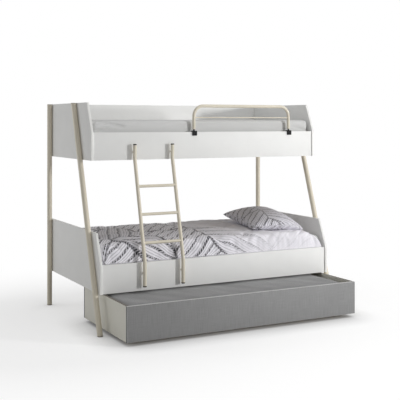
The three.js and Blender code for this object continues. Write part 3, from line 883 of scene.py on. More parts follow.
@dataclass(frozen=True)
class PrintedClothFinish(ClothFinish):
    """Woven cloth with a generic print of brushed patches, which fades along the cloth."""

    mid: Colour = (122, 120, 131)
    dark: Colour = (46, 45, 52)
    tint: float = 0.20
    stroke: float = 0.40
    patches: float = 2.6
    pitch: float = 50.0
    fade: tuple[float, float] = (-0.10, 0.42)
    fade_drift: float = 0.35
    faded: float = 0.10
    yarn_shade: float = 0.6
    yarn_share: float = 0.10

    def dress(self, sketch: Sketch) -> None:
        """Fills in the material."""
        place = sketch.cloth_place()
        weave = sketch.effect(Effects.weave(), Vector=place, Threads=self.threads)
        patches = sketch.effect(
            Effects.brushed_patches(), Vector=place, Patches=self.patches, Pitch=self.pitch
        )
        tone, stroke, band = patches.outputs
        drift = sketch.maths("MULTIPLY", sketch.maths("SUBTRACT", tone, 0.5), self.fade_drift)
        along = sketch.maths("ADD", sketch.split(place).outputs[0], drift)
        full = sketch.mapped(along, *self.fade, 1.0, self.faded)
        tint = sketch.maths("MULTIPLY", sketch.mapped(tone, 0.3, 0.9, 0.0, self.tint), full)
        stroke = sketch.maths("MULTIPLY", sketch.maths("MULTIPLY", stroke, full), self.stroke)
        band = sketch.maths("MULTIPLY", band, full)
        ground = sketch.mixed(tint, self.darker(0.0), linear(self.mid))
        brushed = sketch.mixed(stroke, ground, linear(self.mid))
        printed = sketch.mixed(band, brushed, linear(self.dark))
        yarn = sketch.mapped(weave.outputs["Yarn"], *MIDDLE, 0.0, self.yarn_share)
        sketch.shade("Base Color", sketch.mixed(yarn, printed, self.darker(self.yarn_shade)))
        self.finish_cloth(sketch, weave)


WHITE_BOARD = GrainyFinish(
    "white_board", "white_board", (244, 244, 242), 0.62, grain=600.0, depth=0.00003, patches=0.02
)
WHITE_BAND = GrainyFinish(
    "white_edge_band", "white_board", (242, 242, 239), 0.38, grain=900.0, depth=0.00002, patches=0.02
)
BEIGE_BOARD = GrainyFinish(
    "beige_board", "beige_board", (223, 221, 210), 0.5, grain=600.0, depth=0.00003, patches=0.04
)
GREY_BOARD = LinenBoardFinish("grey_linen_board", "grey_board", (144, 144, 144), 0.62)
LIGHT_BAND = GrainyFinish("light_edge_band", "grey_board", (214, 214, 213), 0.5, patches=0.04)
# The trundle's side boards get dark brown edges all round: a painted shade that stands for the dark line
# along their tops.
SIDE_EDGE_SHADE = GrainyFinish("side_edge_painted_shade", "beige_board", (108, 101, 93), 0.5, patches=0.06)
# The end edges of the trundle's front and back boards are painted dark: a painted shade.
END_EDGE_SHADE = GrainyFinish("end_edge_painted_shade", "grey_board", (84, 84, 86), 0.5, patches=0.06)
CREAM_STEEL = GrainyFinish(
    "cream_powder_coat",
    "cream_steel",
    (226, 218, 199),
    0.4,
    grain=1400.0,
    depth=0.00005,
    patches=0.03,
    coat=0.15,
)
GREY_PLASTIC = GrainyFinish("grey_plug", "grey_plastic", (148, 141, 128), 0.55, grain=1600.0, patches=0.06)
BLACK_PLASTIC = GrainyFinish(
    "black_plastic", "black_plastic", (22, 22, 24), 0.55, grain=1800.0, patches=0.15, specular=0.15
)
WHEEL_TREAD = GrainyFinish(
    "wheel_tread", "black_plastic", (30, 30, 32), 0.62, grain=1200.0, patches=0.18, specular=0.2
)
ZINC_STEEL = GrainyFinish(
    "zinc_steel", "zinc_steel", (176, 178, 180), 0.36, grain=700.0, patches=0.16, metallic=1.0
)
WOOD_LONG = WoodFinish("plain_wood_long", "plain_wood", (220, 197, 158), 0.6)
WOOD_DEEP = WoodFinish("plain_wood_deep", "plain_wood", (222, 200, 162), 0.6, grain=Grain.ALONG_DEPTH)
WEBBING = ClothFinish("webbing", "plain_wood", (226, 222, 212), 0.9, threads=600.0)
WHITE_SHEET = ClothFinish("white_sheet", "white_cloth", (217, 217, 216), 0.9, contrast=0.05)
GREY_COVER = ClothFinish(
    "grey_cover", "grey_cloth", (129, 129, 130), 0.92, threads=700.0, contrast=0.2, sheen=0.3
)
DUVET_PRINT = PrintedClothFinish("duvet_print", "printed_cloth", (250, 248, 254), 0.88)
PILLOW_PRINT = PrintedClothFinish(
    "pillow_print",
    "printed_cloth",
    (246, 244, 251),
    0.88,
    dark=(38, 37, 43),
    tint=0.30,
    stroke=0.55,
    patches=4.5,
    pitch=62.0,
    fade=(-0.16, 0.22),
    faded=0.3,
)


def settle(piece: Piece, body: str, finish: Finish, *nodes: str) -> Piece:
    """Dresses a finished piece and sets it on its body.

    Args:
        piece: The finished piece.
        body: The CAD body that it rides on.
        finish: Its finish.
        nodes: The CAD nodes that it stands for.

    Returns:
        The piece.
    """
    if not piece.data.materials:
        piece.data.materials.append(finish.material())
    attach(piece, body)
    if nodes:
        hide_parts(*nodes)
    LOG.info("%s: %d faces, on %s", piece.name, len(piece.data.polygons), body)
    return piece


@dataclass
class Board:
    """A faced board with banded edges, in the space of one CAD node."""

    node: str
    body: str
    face: Finish
    band: Finish
    ends: Finish | None = None
    edge: float = 0.0008

    def build(self) -> Piece:
        """Builds the board and returns it."""
        low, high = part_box(self.node)
        piece = Bench.block(f"{self.node}_board", low, high)
        self.shape(piece, low, high)
        self.round_edges(piece, low, high)
        self.dress(piece, low, high)
        return settle(piece, self.body, self.face, self.node)

    def shape(self, piece: Piece, low: Vector, high: Vector) -> None:
        """Cuts the board's outline, which is a plain rectangle here."""

    def thin_axis(self, low: Vector, high: Vector) -> int:
        """The axis across the board's thickness."""
        spans = high - low
        return min(range(3), key=lambda axis: spans[axis])

    def round_edges(self, piece: Piece, low: Vector, high: Vector) -> None:
        """Breaks the edges round both faces of the board."""
        axis = self.thin_axis(low, high)

        def on_face(first: Vector, second: Vector) -> bool:
            """Whether an edge lies in one of the board's faces."""
            level = abs(first[axis] - second[axis]) < CLOSE
            return level and min(abs(first[axis] - low[axis]), abs(first[axis] - high[axis])) < CLOSE

        Bench.round_off(piece, Element.EDGES, on_face, self.edge, steps=2)
        Bench.smooth(piece, angle=30)

    def dress(self, piece: Piece, low: Vector, high: Vector) -> None:
        """Gives the faces and the banded edges their finishes."""
        axis = self.thin_axis(low, high)
        piece.data.materials.append(self.face.material())
        Bench.paint(piece, self.band.material(), lambda centre, normal: abs(normal[axis]) < FACING)
        # A finish for a board's end edges is used on the trundle's front and back boards, where it is a
        # painted shade.
        if self.ends:
            Bench.paint(piece, self.ends.material(), lambda centre, normal: abs(normal.x) > FACING)


@dataclass
class EndPanel(Board):
    """An end panel, whose front edge leans back above a rounded knee."""

    knee_rise: float = 0.212
    setback: float = 0.097
    knee_reach: float = 0.0149
    corner_reach: float = 0.0039

    def shape(self, piece: Piece, low: Vector, high: Vector) -> None:
        """Cuts off the corner above the knee and rounds the knee and the top corner."""
        knee = Vector((0, low.y, low.z + self.knee_rise))
        corner = Vector((0, low.y + self.setback, high.z))
        run = corner - knee
        Bench.pick_all(piece)
        bpy.ops.mesh.bisect(plane_co=knee, plane_no=(0, -run.z, run.y), use_fill=True, clear_outer=True)
        for place, reach, steps in ((knee, self.knee_reach, 6), (corner, self.corner_reach, 4)):

            def across(first: Vector, second: Vector, place: Vector = place) -> bool:
                """Whether an edge crosses the board at this place."""
                return all(math.hypot(end.y - place.y, end.z - place.z) < CLOSE for end in (first, second))

            Bench.round_off(piece, Element.EDGES, across, reach, steps)


@dataclass
class BunkBoards:
    """The boards of both bunks."""

    boards: tuple[str, ...] = ("upper_front_rail", "upper_back_panel", "lower_front_rail", "lower_back_rail")
    panels: tuple[str, ...] = ("upper_left", "upper_right", "lower_left", "lower_right")

    def build(self) -> None:
        """Builds every board."""
        for node in self.boards:
            Board(node, "bed", WHITE_BOARD, WHITE_BAND).build()
        for place in self.panels:
            EndPanel(f"{place}_end_panel", "bed", WHITE_BOARD, WHITE_BAND).build()


@dataclass
class SlatBase:
    """The ledges, the slats and the webbing that spaces them."""

    slat_width: float = 0.070
    slat_pitch: float = 0.139
    slat_thickness: float = 0.016
    slat_edge: float = 0.003
    batten_edge: float = 0.0018
    webbing_width: float = 0.038
    webbing_inset: float = 0.170
    webbing_thickness: float = 0.0012
    webbing_gap: float = 0.0008
    webbing_dip: float = 0.0018
    webbing_cells: tuple[int, int] = (168, 4)

    def build(self) -> None:
        """Builds the wooden parts under both mattresses."""
        for bunk in ("upper", "lower"):
            for place in ("front", "back"):
                self.batten(f"{bunk}_{place}_ledge")
        self.batten("lower_centre_beam")
        for bunk in ("upper", "lower"):
            self.slats(bunk)

    def batten(self, node: str) -> None:
        """Builds one batten with rounded edges."""
        low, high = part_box(node)
        piece = Bench.block(f"{node}_batten", low, high)
        Bench.pick_all(piece)
        bpy.ops.mesh.bevel(offset=self.batten_edge, segments=3, affect="EDGES")
        Bench.smooth(piece)
        settle(piece, "bed", WOOD_LONG, node)

    def slats(self, bunk: str) -> None:
        """Builds the slats and the webbing of one bunk."""
        low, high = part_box(f"{bunk}_slat_mat")
        count = round((high.x - low.x - self.slat_width) / self.slat_pitch) + 1
        bottom = high.z - self.slat_thickness
        far = Vector((low.x + self.slat_width, high.y, high.z))
        first = Bench.block(f"{bunk}_slat", Vector((low.x, low.y, bottom)), far)
        Bench.pick_all(first)
        bpy.ops.mesh.bevel(offset=self.slat_edge, segments=3, affect="EDGES")
        Bench.smooth(first)
        row = [first]
        for index in range(1, count):
            step = Vector((index * self.slat_pitch, 0, 0))
            row.append(Bench.copy(first, f"{bunk}_slat_{index}", step))
        settle(Bench.join(f"{bunk}_slats", row), "bed", WOOD_DEEP, f"{bunk}_slat_mat")
        strips = [self.webbing(bunk, side, low, high, bottom) for side in (-1, 1)]
        settle(Bench.join(f"{bunk}_webbing", strips), "bed", WEBBING)

    def webbing(self, bunk: str, side: int, low: Vector, high: Vector, bottom: float) -> Piece:
        """Builds one strip of webbing, which dips between the slats.

        Args:
            bunk: The bunk that it is in.
            side: -1 for the front strip and 1 for the rear one.
            low: The slats' lowest corner.
            high: The slats' highest corner.
            bottom: The height of the slats' underside.

        Returns:
            The strip.
        """
        reach = (high.y - low.y) / 2 - self.webbing_inset
        middle = (low.y + high.y) / 2 + side * reach
        start = low.x + self.slat_width / 2
        end = high.x - self.slat_width / 2
        centre = Vector(((start + end) / 2, middle, bottom - self.webbing_gap))
        label = "front" if side < 0 else "rear"
        size = (end - start, self.webbing_width)
        strip = Bench.grid(f"{bunk}_webbing_{label}", centre, size, self.webbing_cells)
        for point in strip.data.vertices:
            phase = 2 * math.pi * (point.co.x - start) / self.slat_pitch
            point.co.z -= self.webbing_dip * (1 - math.cos(phase)) / 2
        Bench.apply(strip, "SOLIDIFY", thickness=self.webbing_thickness, offset=-1.0)
        Bench.smooth(strip, angle=60)
        strip.data.uv_layers[0].name = "cloth"
        SoftPiece.map_cloth(strip, SoftPiece.places(strip)[:, :2])
        return strip


@dataclass
class Post:
    """One post: a tube cut level at both ends, with its two plugs."""

    name: str
    wall: float = 0.002
    mouth: float = 0.004
    joint: float = 0.0003
    cap_edge: float = 0.0012
    foot_edge: float = 0.0022
    sides: int = 56

    def build(self) -> None:
        """Builds the tube, the cap and the foot."""
        low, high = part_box(f"{self.name}_post")
        radius = (high.x - low.x) / 2
        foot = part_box(f"{self.name}_post_foot")
        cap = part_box(f"{self.name}_post_cap")
        middle = (low.x + high.x) / 2
        foot_y = (foot[0].y + foot[1].y) / 2
        cap_y = (cap[0].y + cap[1].y) / 2
        lean = cap_y - foot_y
        stretch = math.hypot(lean, cap[1].z) / cap[1].z

        def axis_y(z: float) -> float:
            """The place of the post's axis at a height."""
            return foot_y + (lean * z) / cap[1].z

        shape = (radius, stretch)
        tube = self.upright("tube", middle, axis_y(low.z), low.z, high.z, shape)
        Bench.pick(tube, Element.POINTS, lambda place, normal: place.z > high.z - CLOSE)
        bpy.ops.transform.translate(value=(0, axis_y(high.z) - axis_y(low.z), 0))
        for top in (True, False):
            self.open_mouth(tube, high.z if top else low.z, top)
        Bench.smooth(tube, angle=40)
        settle(tube, "bed", CREAM_STEEL, f"{self.name}_post")
        disc = self.upright("cap", middle, axis_y(high.z), high.z + self.joint, cap[1].z, shape)
        self.plug("cap", disc, cap[1].z, self.cap_edge)
        disc = self.upright("foot", middle, foot_y, 0.0, low.z - self.joint, shape)
        self.plug("foot", disc, 0.0, self.foot_edge)

    def open_mouth(self, tube: Piece, level: float, top: bool) -> None:
        """Sinks one end's face, so that the tube's wall shows.

        Args:
            tube: The post's tube.
            level: The height of the end.
            top: Whether it is the upper end.
        """
        way = 1 if top else -1

        def at_the_end(centre: Vector, normal: Vector) -> bool:
            """Whether a face is the end's."""
            return normal.z * way > FACING and abs(centre.z - level) < CLOSE

        Bench.pick(tube, Element.FACES, at_the_end)
        bpy.ops.mesh.inset(thickness=self.wall, depth=0)
        bpy.ops.mesh.extrude_region_move(TRANSFORM_OT_translate={"value": (0, 0, -way * self.mouth)})

    def upright(
        self, part: str, x: float, y: float, bottom: float, top: float, shape: tuple[float, float]
    ) -> Piece:
        """Adds an upright cylinder with the outline of the post's level cut.

        Args:
            part: "tube", "cap" or "foot".
            x: The cylinder's middle along the bed.
            y: Its middle across the bed.
            bottom: The height of its lower face.
            top: The height of its upper face.
            shape: The post's radius, and how much deeper than wide its level cut is.

        Returns:
            The cylinder.
        """
        radius, stretch = shape
        Bench.clear()
        bpy.ops.mesh.primitive_cylinder_add(
            vertices=self.sides,
            radius=radius,
            depth=top - bottom,
            location=(x, y, (bottom + top) / 2),
            scale=(1, stretch, 1),
        )
        return Bench.named(f"{self.name}_{part}")

    def plug(self, part: str, disc: Piece, outer: float, edge: float) -> None:
        """Rounds the outer rim of a plug and settles it.

        Args:
            part: "cap" or "foot".
            disc: The plug's part that shows.
            outer: The height of its outer face.
            edge: How far its rim is rounded.
        """

        def on_the_rim(first: Vector, second: Vector) -> bool:
            """Whether an edge is on the outer rim."""
            return max(abs(first.z - outer), abs(second.z - outer)) < CLOSE

        Bench.round_off(disc, Element.EDGES, on_the_rim, edge, steps=3)
        Bench.smooth(disc, angle=40)
        settle(disc, "bed", GREY_PLASTIC, f"{self.name}_post_{part}")


@dataclass
class TubeRun:
    """A round tube bent along a line of corners."""

    name: str
    corners: Sequence[Vector]
    radius: float
    bend: float
    sides: int = 32
    steps: int = 10

    def build(self) -> Piece:
        """Draws the tube by extruding and spinning its section, and returns it."""
        start = self.corners[0]
        first = (self.corners[1] - start).normalized()
        Bench.clear()
        bpy.ops.mesh.primitive_circle_add(
            vertices=self.sides,
            radius=self.radius,
            fill_type="NOTHING",
            location=start,
            rotation=first.to_track_quat("Z", "Y").to_euler(),
        )
        tube = Bench.named(self.name)
        Bench.pick_all(tube)
        place = start.copy()
        for index in range(1, len(self.corners)):
            corner = self.corners[index]
            along = (corner - self.corners[index - 1]).normalized()
            turn, leg = 0.0, 0.0
            if index < len(self.corners) - 1:
                ahead = (self.corners[index + 1] - corner).normalized()
                turn = along.angle(ahead)
                leg = self.bend * math.tan(turn / 2)
            stop = corner - along * leg
            bpy.ops.mesh.extrude_region_move(TRANSFORM_OT_translate={"value": stop - place})
            place = stop
            if turn:
                inward = (ahead - along * along.dot(ahead)).normalized()
                bpy.ops.mesh.spin(
                    steps=self.steps,
                    angle=-turn,
                    center=stop + inward * self.bend,
                    axis=along.cross(ahead).normalized(),
                )
                place = corner + ahead * leg
        bpy.ops.mesh.select_all(action="DESELECT")
        bpy.ops.mesh.select_non_manifold(extend=False)
        bpy.ops.mesh.edge_face_add()
        bpy.ops.mesh.select_all(action="SELECT")
        bpy.ops.mesh.remove_doubles(threshold=1e-6)
        Bench.smooth(tube, angle=40)
        return tube


@dataclass
class Ladder:
    """The cranked ladder with its rungs, plugs and spacers."""

    tube: float = 0.027
    rung: float = 0.022
    bend: float = 0.090
    upper_bend: float = 1.236
    lower_bend: float = 0.500
    first_rung_share: float = 0.174
    rung_pitch_share: float = 0.277
    rungs: int = 3
    rung_sink: float = 0.004
    bead: float = 0.0016
    plug_edge: float = 0.0018
    plug_ring: float = 0.004
    dish_ring: float = 0.005
    dish_depth: float = 0.0006
    sleeve_edge: float = 0.001
    across: Vector = field(default_factory=Vector)

    def build(self) -> None:
        """Builds the frame and what is fitted to it."""
        low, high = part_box("ladder_frame")
        half = self.tube / 2
        upper_y, lower_y = high.y - half, low.y + half
        stiles = (low.x + half, high.x - half)
        upper, lower = self.upper_bend, self.lower_bend
        rise = upper - lower
        self.across = Vector((0, -rise, upper_y - lower_y)).normalized()
        line = ((upper_y, high.z), (upper_y, upper), (lower_y, lower), (lower_y, low.z))
        pieces = []
        for label, x in zip(("left", "right"), stiles):
            corners = [Vector((x, y, z)) for y, z in line]
            pieces.append(TubeRun(f"ladder_{label}_stile", corners, half, self.bend).build())
        for index in range(self.rungs):
            share = self.first_rung_share + index * self.rung_pitch_share
            y = lower_y + (upper_y - lower_y) * share
            z = lower + rise * share
            pieces += self.rung_with_beads(index, stiles, y, z)
        settle(Bench.join("ladder_frame_tubes", pieces), "bed", CREAM_STEEL, "ladder_frame")
        for side in ("left", "right"):
            for end in ("top", "bottom"):
                self.plug(f"ladder_{side}_{end}_cap")
        for side in ("left", "right"):
            for end in ("upper", "lower"):
                self.spacer(f"ladder_{side}_{end}_spacer")

    def rung_with_beads(self, index: int, stiles: Sequence[float], y: float, z: float) -> list[Piece]:
        """Builds one rung and the weld bead at each of its ends.

        Args:
            index: Which rung it is, from the bottom.
            stiles: The places of the two stiles along the bed.
            y: The rung's place across the bed.
            z: The rung's height.

        Returns:
            The rung and its two beads.
        """
        left, right = stiles
        reach = self.tube / 2 - self.rung_sink
        start, end = Vector((left + reach, y, z)), Vector((right - reach, y, z))
        parts = [Bench.rod(f"rung_{index}", start, end, self.rung / 2, sides=28)]
        for label, x, way in (("left", left, 1), ("right", right, -1)):
            parts.append(self.weld(f"rung_{index}_{label}_bead", Vector((x, y, z)), way))
        return parts

    def weld(self, name: str, centre: Vector, way: int) -> Piece:
        """Builds the weld bead that follows the line where a rung meets a stile.

        Args:
            name: The bead's name.
            centre: Where the rung's axis meets the stile's axis.
            way: 1 where the rung runs to the right of the stile and -1 where it runs to the left.

        Returns:
            The bead.
        """
        Bench.clear()
        bpy.ops.mesh.primitive_torus_add(
            major_segments=28,
            minor_segments=8,
            major_radius=self.rung / 2,
            minor_radius=self.bead,
            location=centre,
            rotation=(0, math.radians(90), 0),
        )
        bead = Bench.named(name)
        for point in bead.data.vertices:
            off = (point.co - centre).dot(self.across)
            point.co.x += way * math.sqrt(max((self.tube / 2) ** 2 - off**2, 0.0))
        return bead

    def plug(self, node: str) -> None:
        """Builds the dished plug in one end of a stile."""
        low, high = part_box(node)
        middle = (low + high) / 2
        up = node.endswith("top_cap")
        start = Vector((middle.x, middle.y, low.z if up else high.z))
        end = Vector((middle.x, middle.y, high.z if up else low.z))
        piece = Bench.rod(f"{node}_plug", start, end, (high.x - low.x) / 2, rim=self.plug_edge)
        way = 1 if up else -1
        Bench.pick(piece, Element.FACES, lambda centre, normal: normal.z * way > SQUARE_ON)
        bpy.ops.mesh.inset(thickness=self.plug_ring, depth=0)
        bpy.ops.mesh.inset(thickness=self.dish_ring, depth=-self.dish_depth)
        Bench.smooth(piece, angle=50)
        settle(piece, "bed", BLACK_PLASTIC, node)

    def spacer(self, node: str) -> None:
        """Builds the sleeve between a rail and a stile."""
        low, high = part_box(node)
        middle = (low + high) / 2
        start, end = Vector((middle.x, low.y, middle.z)), Vector((middle.x, high.y, middle.z))
        piece = Bench.rod(f"{node}_sleeve", start, end, (high.x - low.x) / 2, rim=self.sleeve_edge)
        settle(piece, "bed", CREAM_STEEL, node)


@dataclass
class GuardRail:
    """The guard rail and the two clamps that hold it on the upper front rail."""

    tube: float = 0.025
    rod: float = 0.009
    bend: float = 0.080
    wall: float = 0.008
    slack: float = 0.0004
    shoulder: float = 0.0045
    neck: float = 0.012
    neck_sink: float = 0.002
    collar_sink: float = 0.001
    collar_proud: float = 0.002
    collar_height: float = 0.003
    collar_edge: float = 0.001
    rod_sink: float = 0.003
    joint: float = 0.0003

    def build(self) -> None:
        """Builds the hoop, its rod and the clamps."""
        low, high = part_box("guard_frame")
        half = self.tube / 2
        y = (low.y + high.y) / 2
        left, right, top = low.x + half, high.x - half, high.z - half
        line = ((left, low.z), (left, top), (right, top), (right, low.z))
        corners = [Vector((x, y, z)) for x, z in line]
        hoop = TubeRun("guard_hoop", corners, half, self.bend, sides=28, steps=14).build()
        level = (low.z + top) / 2
        reach = half - self.rod_sink
        start, end = Vector((left + reach, y, level)), Vector((right - reach, y, level))
        bar = Bench.rod("guard_rod", start, end, self.rod / 2, sides=20)
        settle(Bench.join("guard_frame_tubes", [hoop, bar]), "bed", CREAM_STEEL, "guard_frame")
        for side, x in (("left", left), ("right", right)):
            self.clamp(side, x, y, low.z)

    def clamp(self, side: str, x: float, y: float, leg_foot: float) -> None:
        """Builds one clamp.

        Args:
            side: "left" or "right".
            x: The leg's place along the bed.
            y: The leg's place across the bed.
            leg_foot: The height of the leg's lower end.
        """
        node = f"guard_{side}_clamp"
        low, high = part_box(node)
        rail_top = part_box("upper_front_rail")[1].z
        crotch = rail_top + self.slack
        crown = crotch + self.wall
        inner = (high.y - low.y) / 2 - self.wall
        saddle = Bench.block(
            f"{node}_saddle", Vector((low.x, low.y, crotch)), Vector((high.x, high.y, crown))
        )
        for way in (-1, 1):
            Bench.pick_all(saddle)
            bpy.ops.mesh.bisect(plane_co=(0, y + way * inner, 0), plane_no=(0, 1, 0))

        def under_a_side(centre: Vector, normal: Vector) -> bool:
            """Whether a face is the underside of the saddle's front or rear strip."""
            return normal.z < -FACING and abs(centre.y - y) > inner

        def along_the_outside(first: Vector, second: Vector) -> bool:
            """Whether an edge runs along the bed on the clamp's front or rear face."""
            nearer = min(abs(first.y - y), abs(second.y - y))
            return abs(first.x - second.x) > CLOSE and nearer > inner + CLOSE

        Bench.pick(saddle, Element.FACES, under_a_side)
        bpy.ops.mesh.extrude_region_move(TRANSFORM_OT_translate={"value": (0, 0, low.z - crotch)})
        Bench.round_off(saddle, Element.EDGES, along_the_outside, self.shoulder, steps=5)
        Bench.smooth(saddle, angle=30)
        foot, head = Vector((x, y, crown - self.neck_sink)), Vector((x, y, leg_foot - self.joint))
        neck = Bench.rod(f"{node}_neck", foot, head, self.neck / 2, sides=24)
        foot, head = Vector((x, y, crown - self.collar_sink)), Vector((x, y, crown + self.collar_height))
        radius = self.neck / 2 + self.collar_proud
        collar = Bench.rod(f"{node}_collar", foot, head, radius, sides=24, rim=self.collar_edge)
        settle(Bench.join(f"{node}_body", [saddle, neck, collar]), "bed", BLACK_PLASTIC, node)


@dataclass
class Castor:
    """One fixed castor: a folded fork, an axle and a wheel.

    The wheel's dishes are insets in its sides, each with its width and its height.
    """

    place: str
    sheet: float = 0.003
    cheek_share: float = 0.24
    cheek_edge: float = 0.006
    axle: float = 0.004
    head: float = 0.0065
    head_height: float = 0.0022
    head_sink: float = 0.0002
    head_edge: float = 0.0004
    tread_edge: float = 0.004
    dishes: tuple[tuple[float, float], ...] = (
        (0.004, 0),
        (0.0012, -0.0025),
        (0.0065, 0),
        (0.0008, 0.002),
    )

    def build(self) -> None:
        """Builds the fork and the wheel."""
        self.fork()
        self.wheel()

    def fork(self) -> None:
        """Builds the plate, the two cheeks and the axle with its heads."""
        node = f"castor_{self.place}_fork"
        low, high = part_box(node)
        wheel_low, wheel_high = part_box(f"castor_{self.place}_wheel")
        hub = (wheel_low + wheel_high) / 2
        parts = [Bench.block(f"{node}_plate", Vector((low.x, low.y, high.z - self.sheet)), high)]

        def across_the_foot(first: Vector, second: Vector) -> bool:
            """Whether an edge crosses a cheek's lower end."""
            return abs(first.x - second.x) > CLOSE and max(first.z, second.z) < low.z + CLOSE

        for side, edge in (("left", low.x), ("right", high.x - self.sheet)):
            far = Vector((edge + self.sheet, high.y, high.z - self.sheet))
            cheek = Bench.block(f"{node}_{side}_cheek", Vector((edge, low.y, low.z)), far)
            Bench.pick(cheek, Element.POINTS, lambda place, normal: place.z < low.z + CLOSE)
            bpy.ops.transform.resize(value=(1, self.cheek_share, 1), center_override=(0, hub.y, 0))
            Bench.round_off(cheek, Element.EDGES, across_the_foot, self.cheek_edge, steps=5)
            parts.append(cheek)

        def bar(name: str, start: float, end: float, radius: float, sides: int, rim: float = 0.0) -> None:
            """Adds a bar on the wheel's axis to the parts."""
            ends = (Vector((x, hub.y, hub.z)) for x in (start, end))
            parts.append(Bench.rod(f"{node}_{name}", *ends, radius, sides, rim))

        bar("axle", low.x, high.x, self.axle, 20)
        bar("left_head", low.x - self.head_height, low.x + self.head_sink, self.head, 6, self.head_edge)
        bar("right_head", high.x - self.head_sink, high.x + self.head_height, self.head, 6, self.head_edge)
        fork = Bench.join(f"{node}_steel", parts)
        Bench.smooth(fork, angle=30)
        settle(fork, "trundle", ZINC_STEEL, node)

    def wheel(self) -> None:
        """Builds the wheel with its round tread and dished sides."""
        node = f"castor_{self.place}_wheel"
        low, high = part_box(node)
        hub = (low + high) / 2
        radius = (high.z - low.z) / 2
        start, end = Vector((low.x, hub.y, hub.z)), Vector((high.x, hub.y, hub.z))
        wheel = Bench.rod(f"{node}_tyre", start, end, radius, sides=48, rim=self.tread_edge)
        Bench.pick(wheel, Element.FACES, lambda centre, normal: abs(normal.x) > SQUARE_ON)
        for thickness, depth in self.dishes:
            bpy.ops.mesh.inset(thickness=thickness, depth=depth, use_individual=True)
        Bench.smooth(wheel, angle=35)
        settle(wheel, f"{self.place}_wheel", WHEEL_TREAD, node)


@dataclass
class TrundleBox:
    """The boards and the castors of the trundle."""

    places: tuple[str, ...] = ("front_left", "front_right", "rear_left", "rear_right")

    def build(self) -> None:
        """Builds the box and its castors."""
        for node in ("trundle_front", "trundle_back"):
            # The end edges of these boards are painted dark, a painted shade.
            Board(node, "trundle", GREY_BOARD, LIGHT_BAND, END_EDGE_SHADE).build()
        for node in ("trundle_left_side", "trundle_right_side"):
            # The edges of the side boards are painted dark, a painted shade along their tops.
            Board(node, "trundle", BEIGE_BOARD, SIDE_EDGE_SHADE).build()
        Board("trundle_base", "trundle", WOOD_LONG, WOOD_DEEP).build()
        for place in self.places:
            Castor(place).build()


@dataclass(frozen=True)
class Crease:
    """A fold or a pull in cloth, from one point to another."""

    start: Place
    end: Place
    width: float
    depth: float


@dataclass
class SoftPiece:
    """What all the soft pieces share: swelling, relief and the map of the cloth."""

    name: str
    body: str
    finish: Finish
    creases: tuple[Crease, ...] = ()
    crease_end: float = 0.03

    @staticmethod
    def places(piece: Piece) -> Array:
        """The points of a piece as rows."""
        flat = np.zeros(len(piece.data.vertices) * 3)
        piece.data.vertices.foreach_get("co", flat)
        return flat.reshape(-1, 3)

    @staticmethod
    def move(piece: Piece, places: Array) -> None:
        """Moves the points of a piece."""
        piece.data.vertices.foreach_set("co", places.ravel())
        piece.data.update()

    def swell(
        self, piece: Piece, pressure: float, growth: float, cap: float, frames: int, held: Array
    ) -> None:
        """Lets the cloth fill out under pressure and keeps the result.

        Args:
            piece: The closed mesh.
            pressure: The pressure inside.
            growth: By what share the cloth is larger than the mesh, which makes it wrinkle.
            cap: How far a point may move.
            frames: How many frames the simulation runs.
            held: Whether each point stays where it is.
        """
        before = self.places(piece)
        group = piece.vertex_groups.new(name="held")
        group.add([int(index) for index in np.flatnonzero(held)], 1.0, "REPLACE")
        cloth = piece.modifiers.new("Swell", "CLOTH")
        settings = cloth.settings
        settings.use_pressure = True
        settings.uniform_pressure_force = pressure
        settings.shrink_min = -growth
        settings.effector_weights.gravity = 0
        settings.quality = 6
        settings.mass = 0.25
        settings.air_damping = 4
        settings.bending_stiffness = 0.5
        if held.any():
            settings.vertex_group_mass = "held"
        cloth.point_cache.frame_start = 1
        cloth.point_cache.frame_end = frames
        scene = bpy.context.scene
        for number in range(1, frames + 1):
            scene.frame_set(number)
        result = piece.evaluated_get(bpy.context.evaluated_depsgraph_get())
        moved = self.places(result) - before
        piece.modifiers.remove(cloth)
        piece.vertex_groups.remove(group)
        scene.frame_set(1)
        far = np.linalg.norm(moved, axis=1, keepdims=True)
        moved *= np.minimum(1.0, cap / np.maximum(far, 1e-9))
        self.move(piece, before + moved)

    def crease(self, piece: Piece) -> None:
        """Presses the creases into the cloth along its normals, each fading out at its ends."""
        places = self.places(piece)
        normals = np.array([point.normal for point in piece.data.vertices])
        push = np.zeros(len(places))
        for crease in self.creases:
            start, end = np.array(crease.start), np.array(crease.end)
            run = end - start
            share = np.clip((places - start) @ run / (run @ run), 0, 1)
            off = np.linalg.norm(places - start - share[:, None] * run, axis=1)
            fade = np.sqrt(np.sin(np.pi * (share * (1 - 2 * self.crease_end) + self.crease_end)))
            push += crease.depth * fade * np.exp(-((off / crease.width) ** 2))
        self.move(piece, places + normals * push[:, None])

    @staticmethod
    def map_cloth(piece: Piece, flat: Array) -> None:
        """Writes a UV map in metres of cloth.

        Args:
            piece: The piece.
            flat: The place of each of its points in the flat cloth.
        """
        layer = piece.data.uv_layers.get("cloth") or piece.data.uv_layers.new(name="cloth")
        index = np.zeros(len(piece.data.loops), dtype=int)
        piece.data.loops.foreach_get("vertex_index", index)
        layer.data.foreach_set("uv", flat[index].ravel())

    @staticmethod
    def unroll(places: Array, low: Array, high: Array) -> Array:
        """The place of each point of a padded block when its sides are folded flat.

        Args:
            places: The points.
            low: The block's lowest corner.
            high: The block's highest corner.

        Returns:
            The points' places in the flat cloth.
        """
        corner_sharpness = 24
        drop = high[2] - places[:, 2]
        middle = (low + high) / 2
        half = (high - low) / 2
        side = (places[:, :2] - middle[:2]) / half[:2]
        lean = np.abs(side) ** corner_sharpness
        share = lean / np.maximum(lean.sum(axis=1, keepdims=True), 1.0)
        return places[:, :2] + np.sign(side) * share * drop[:, None]


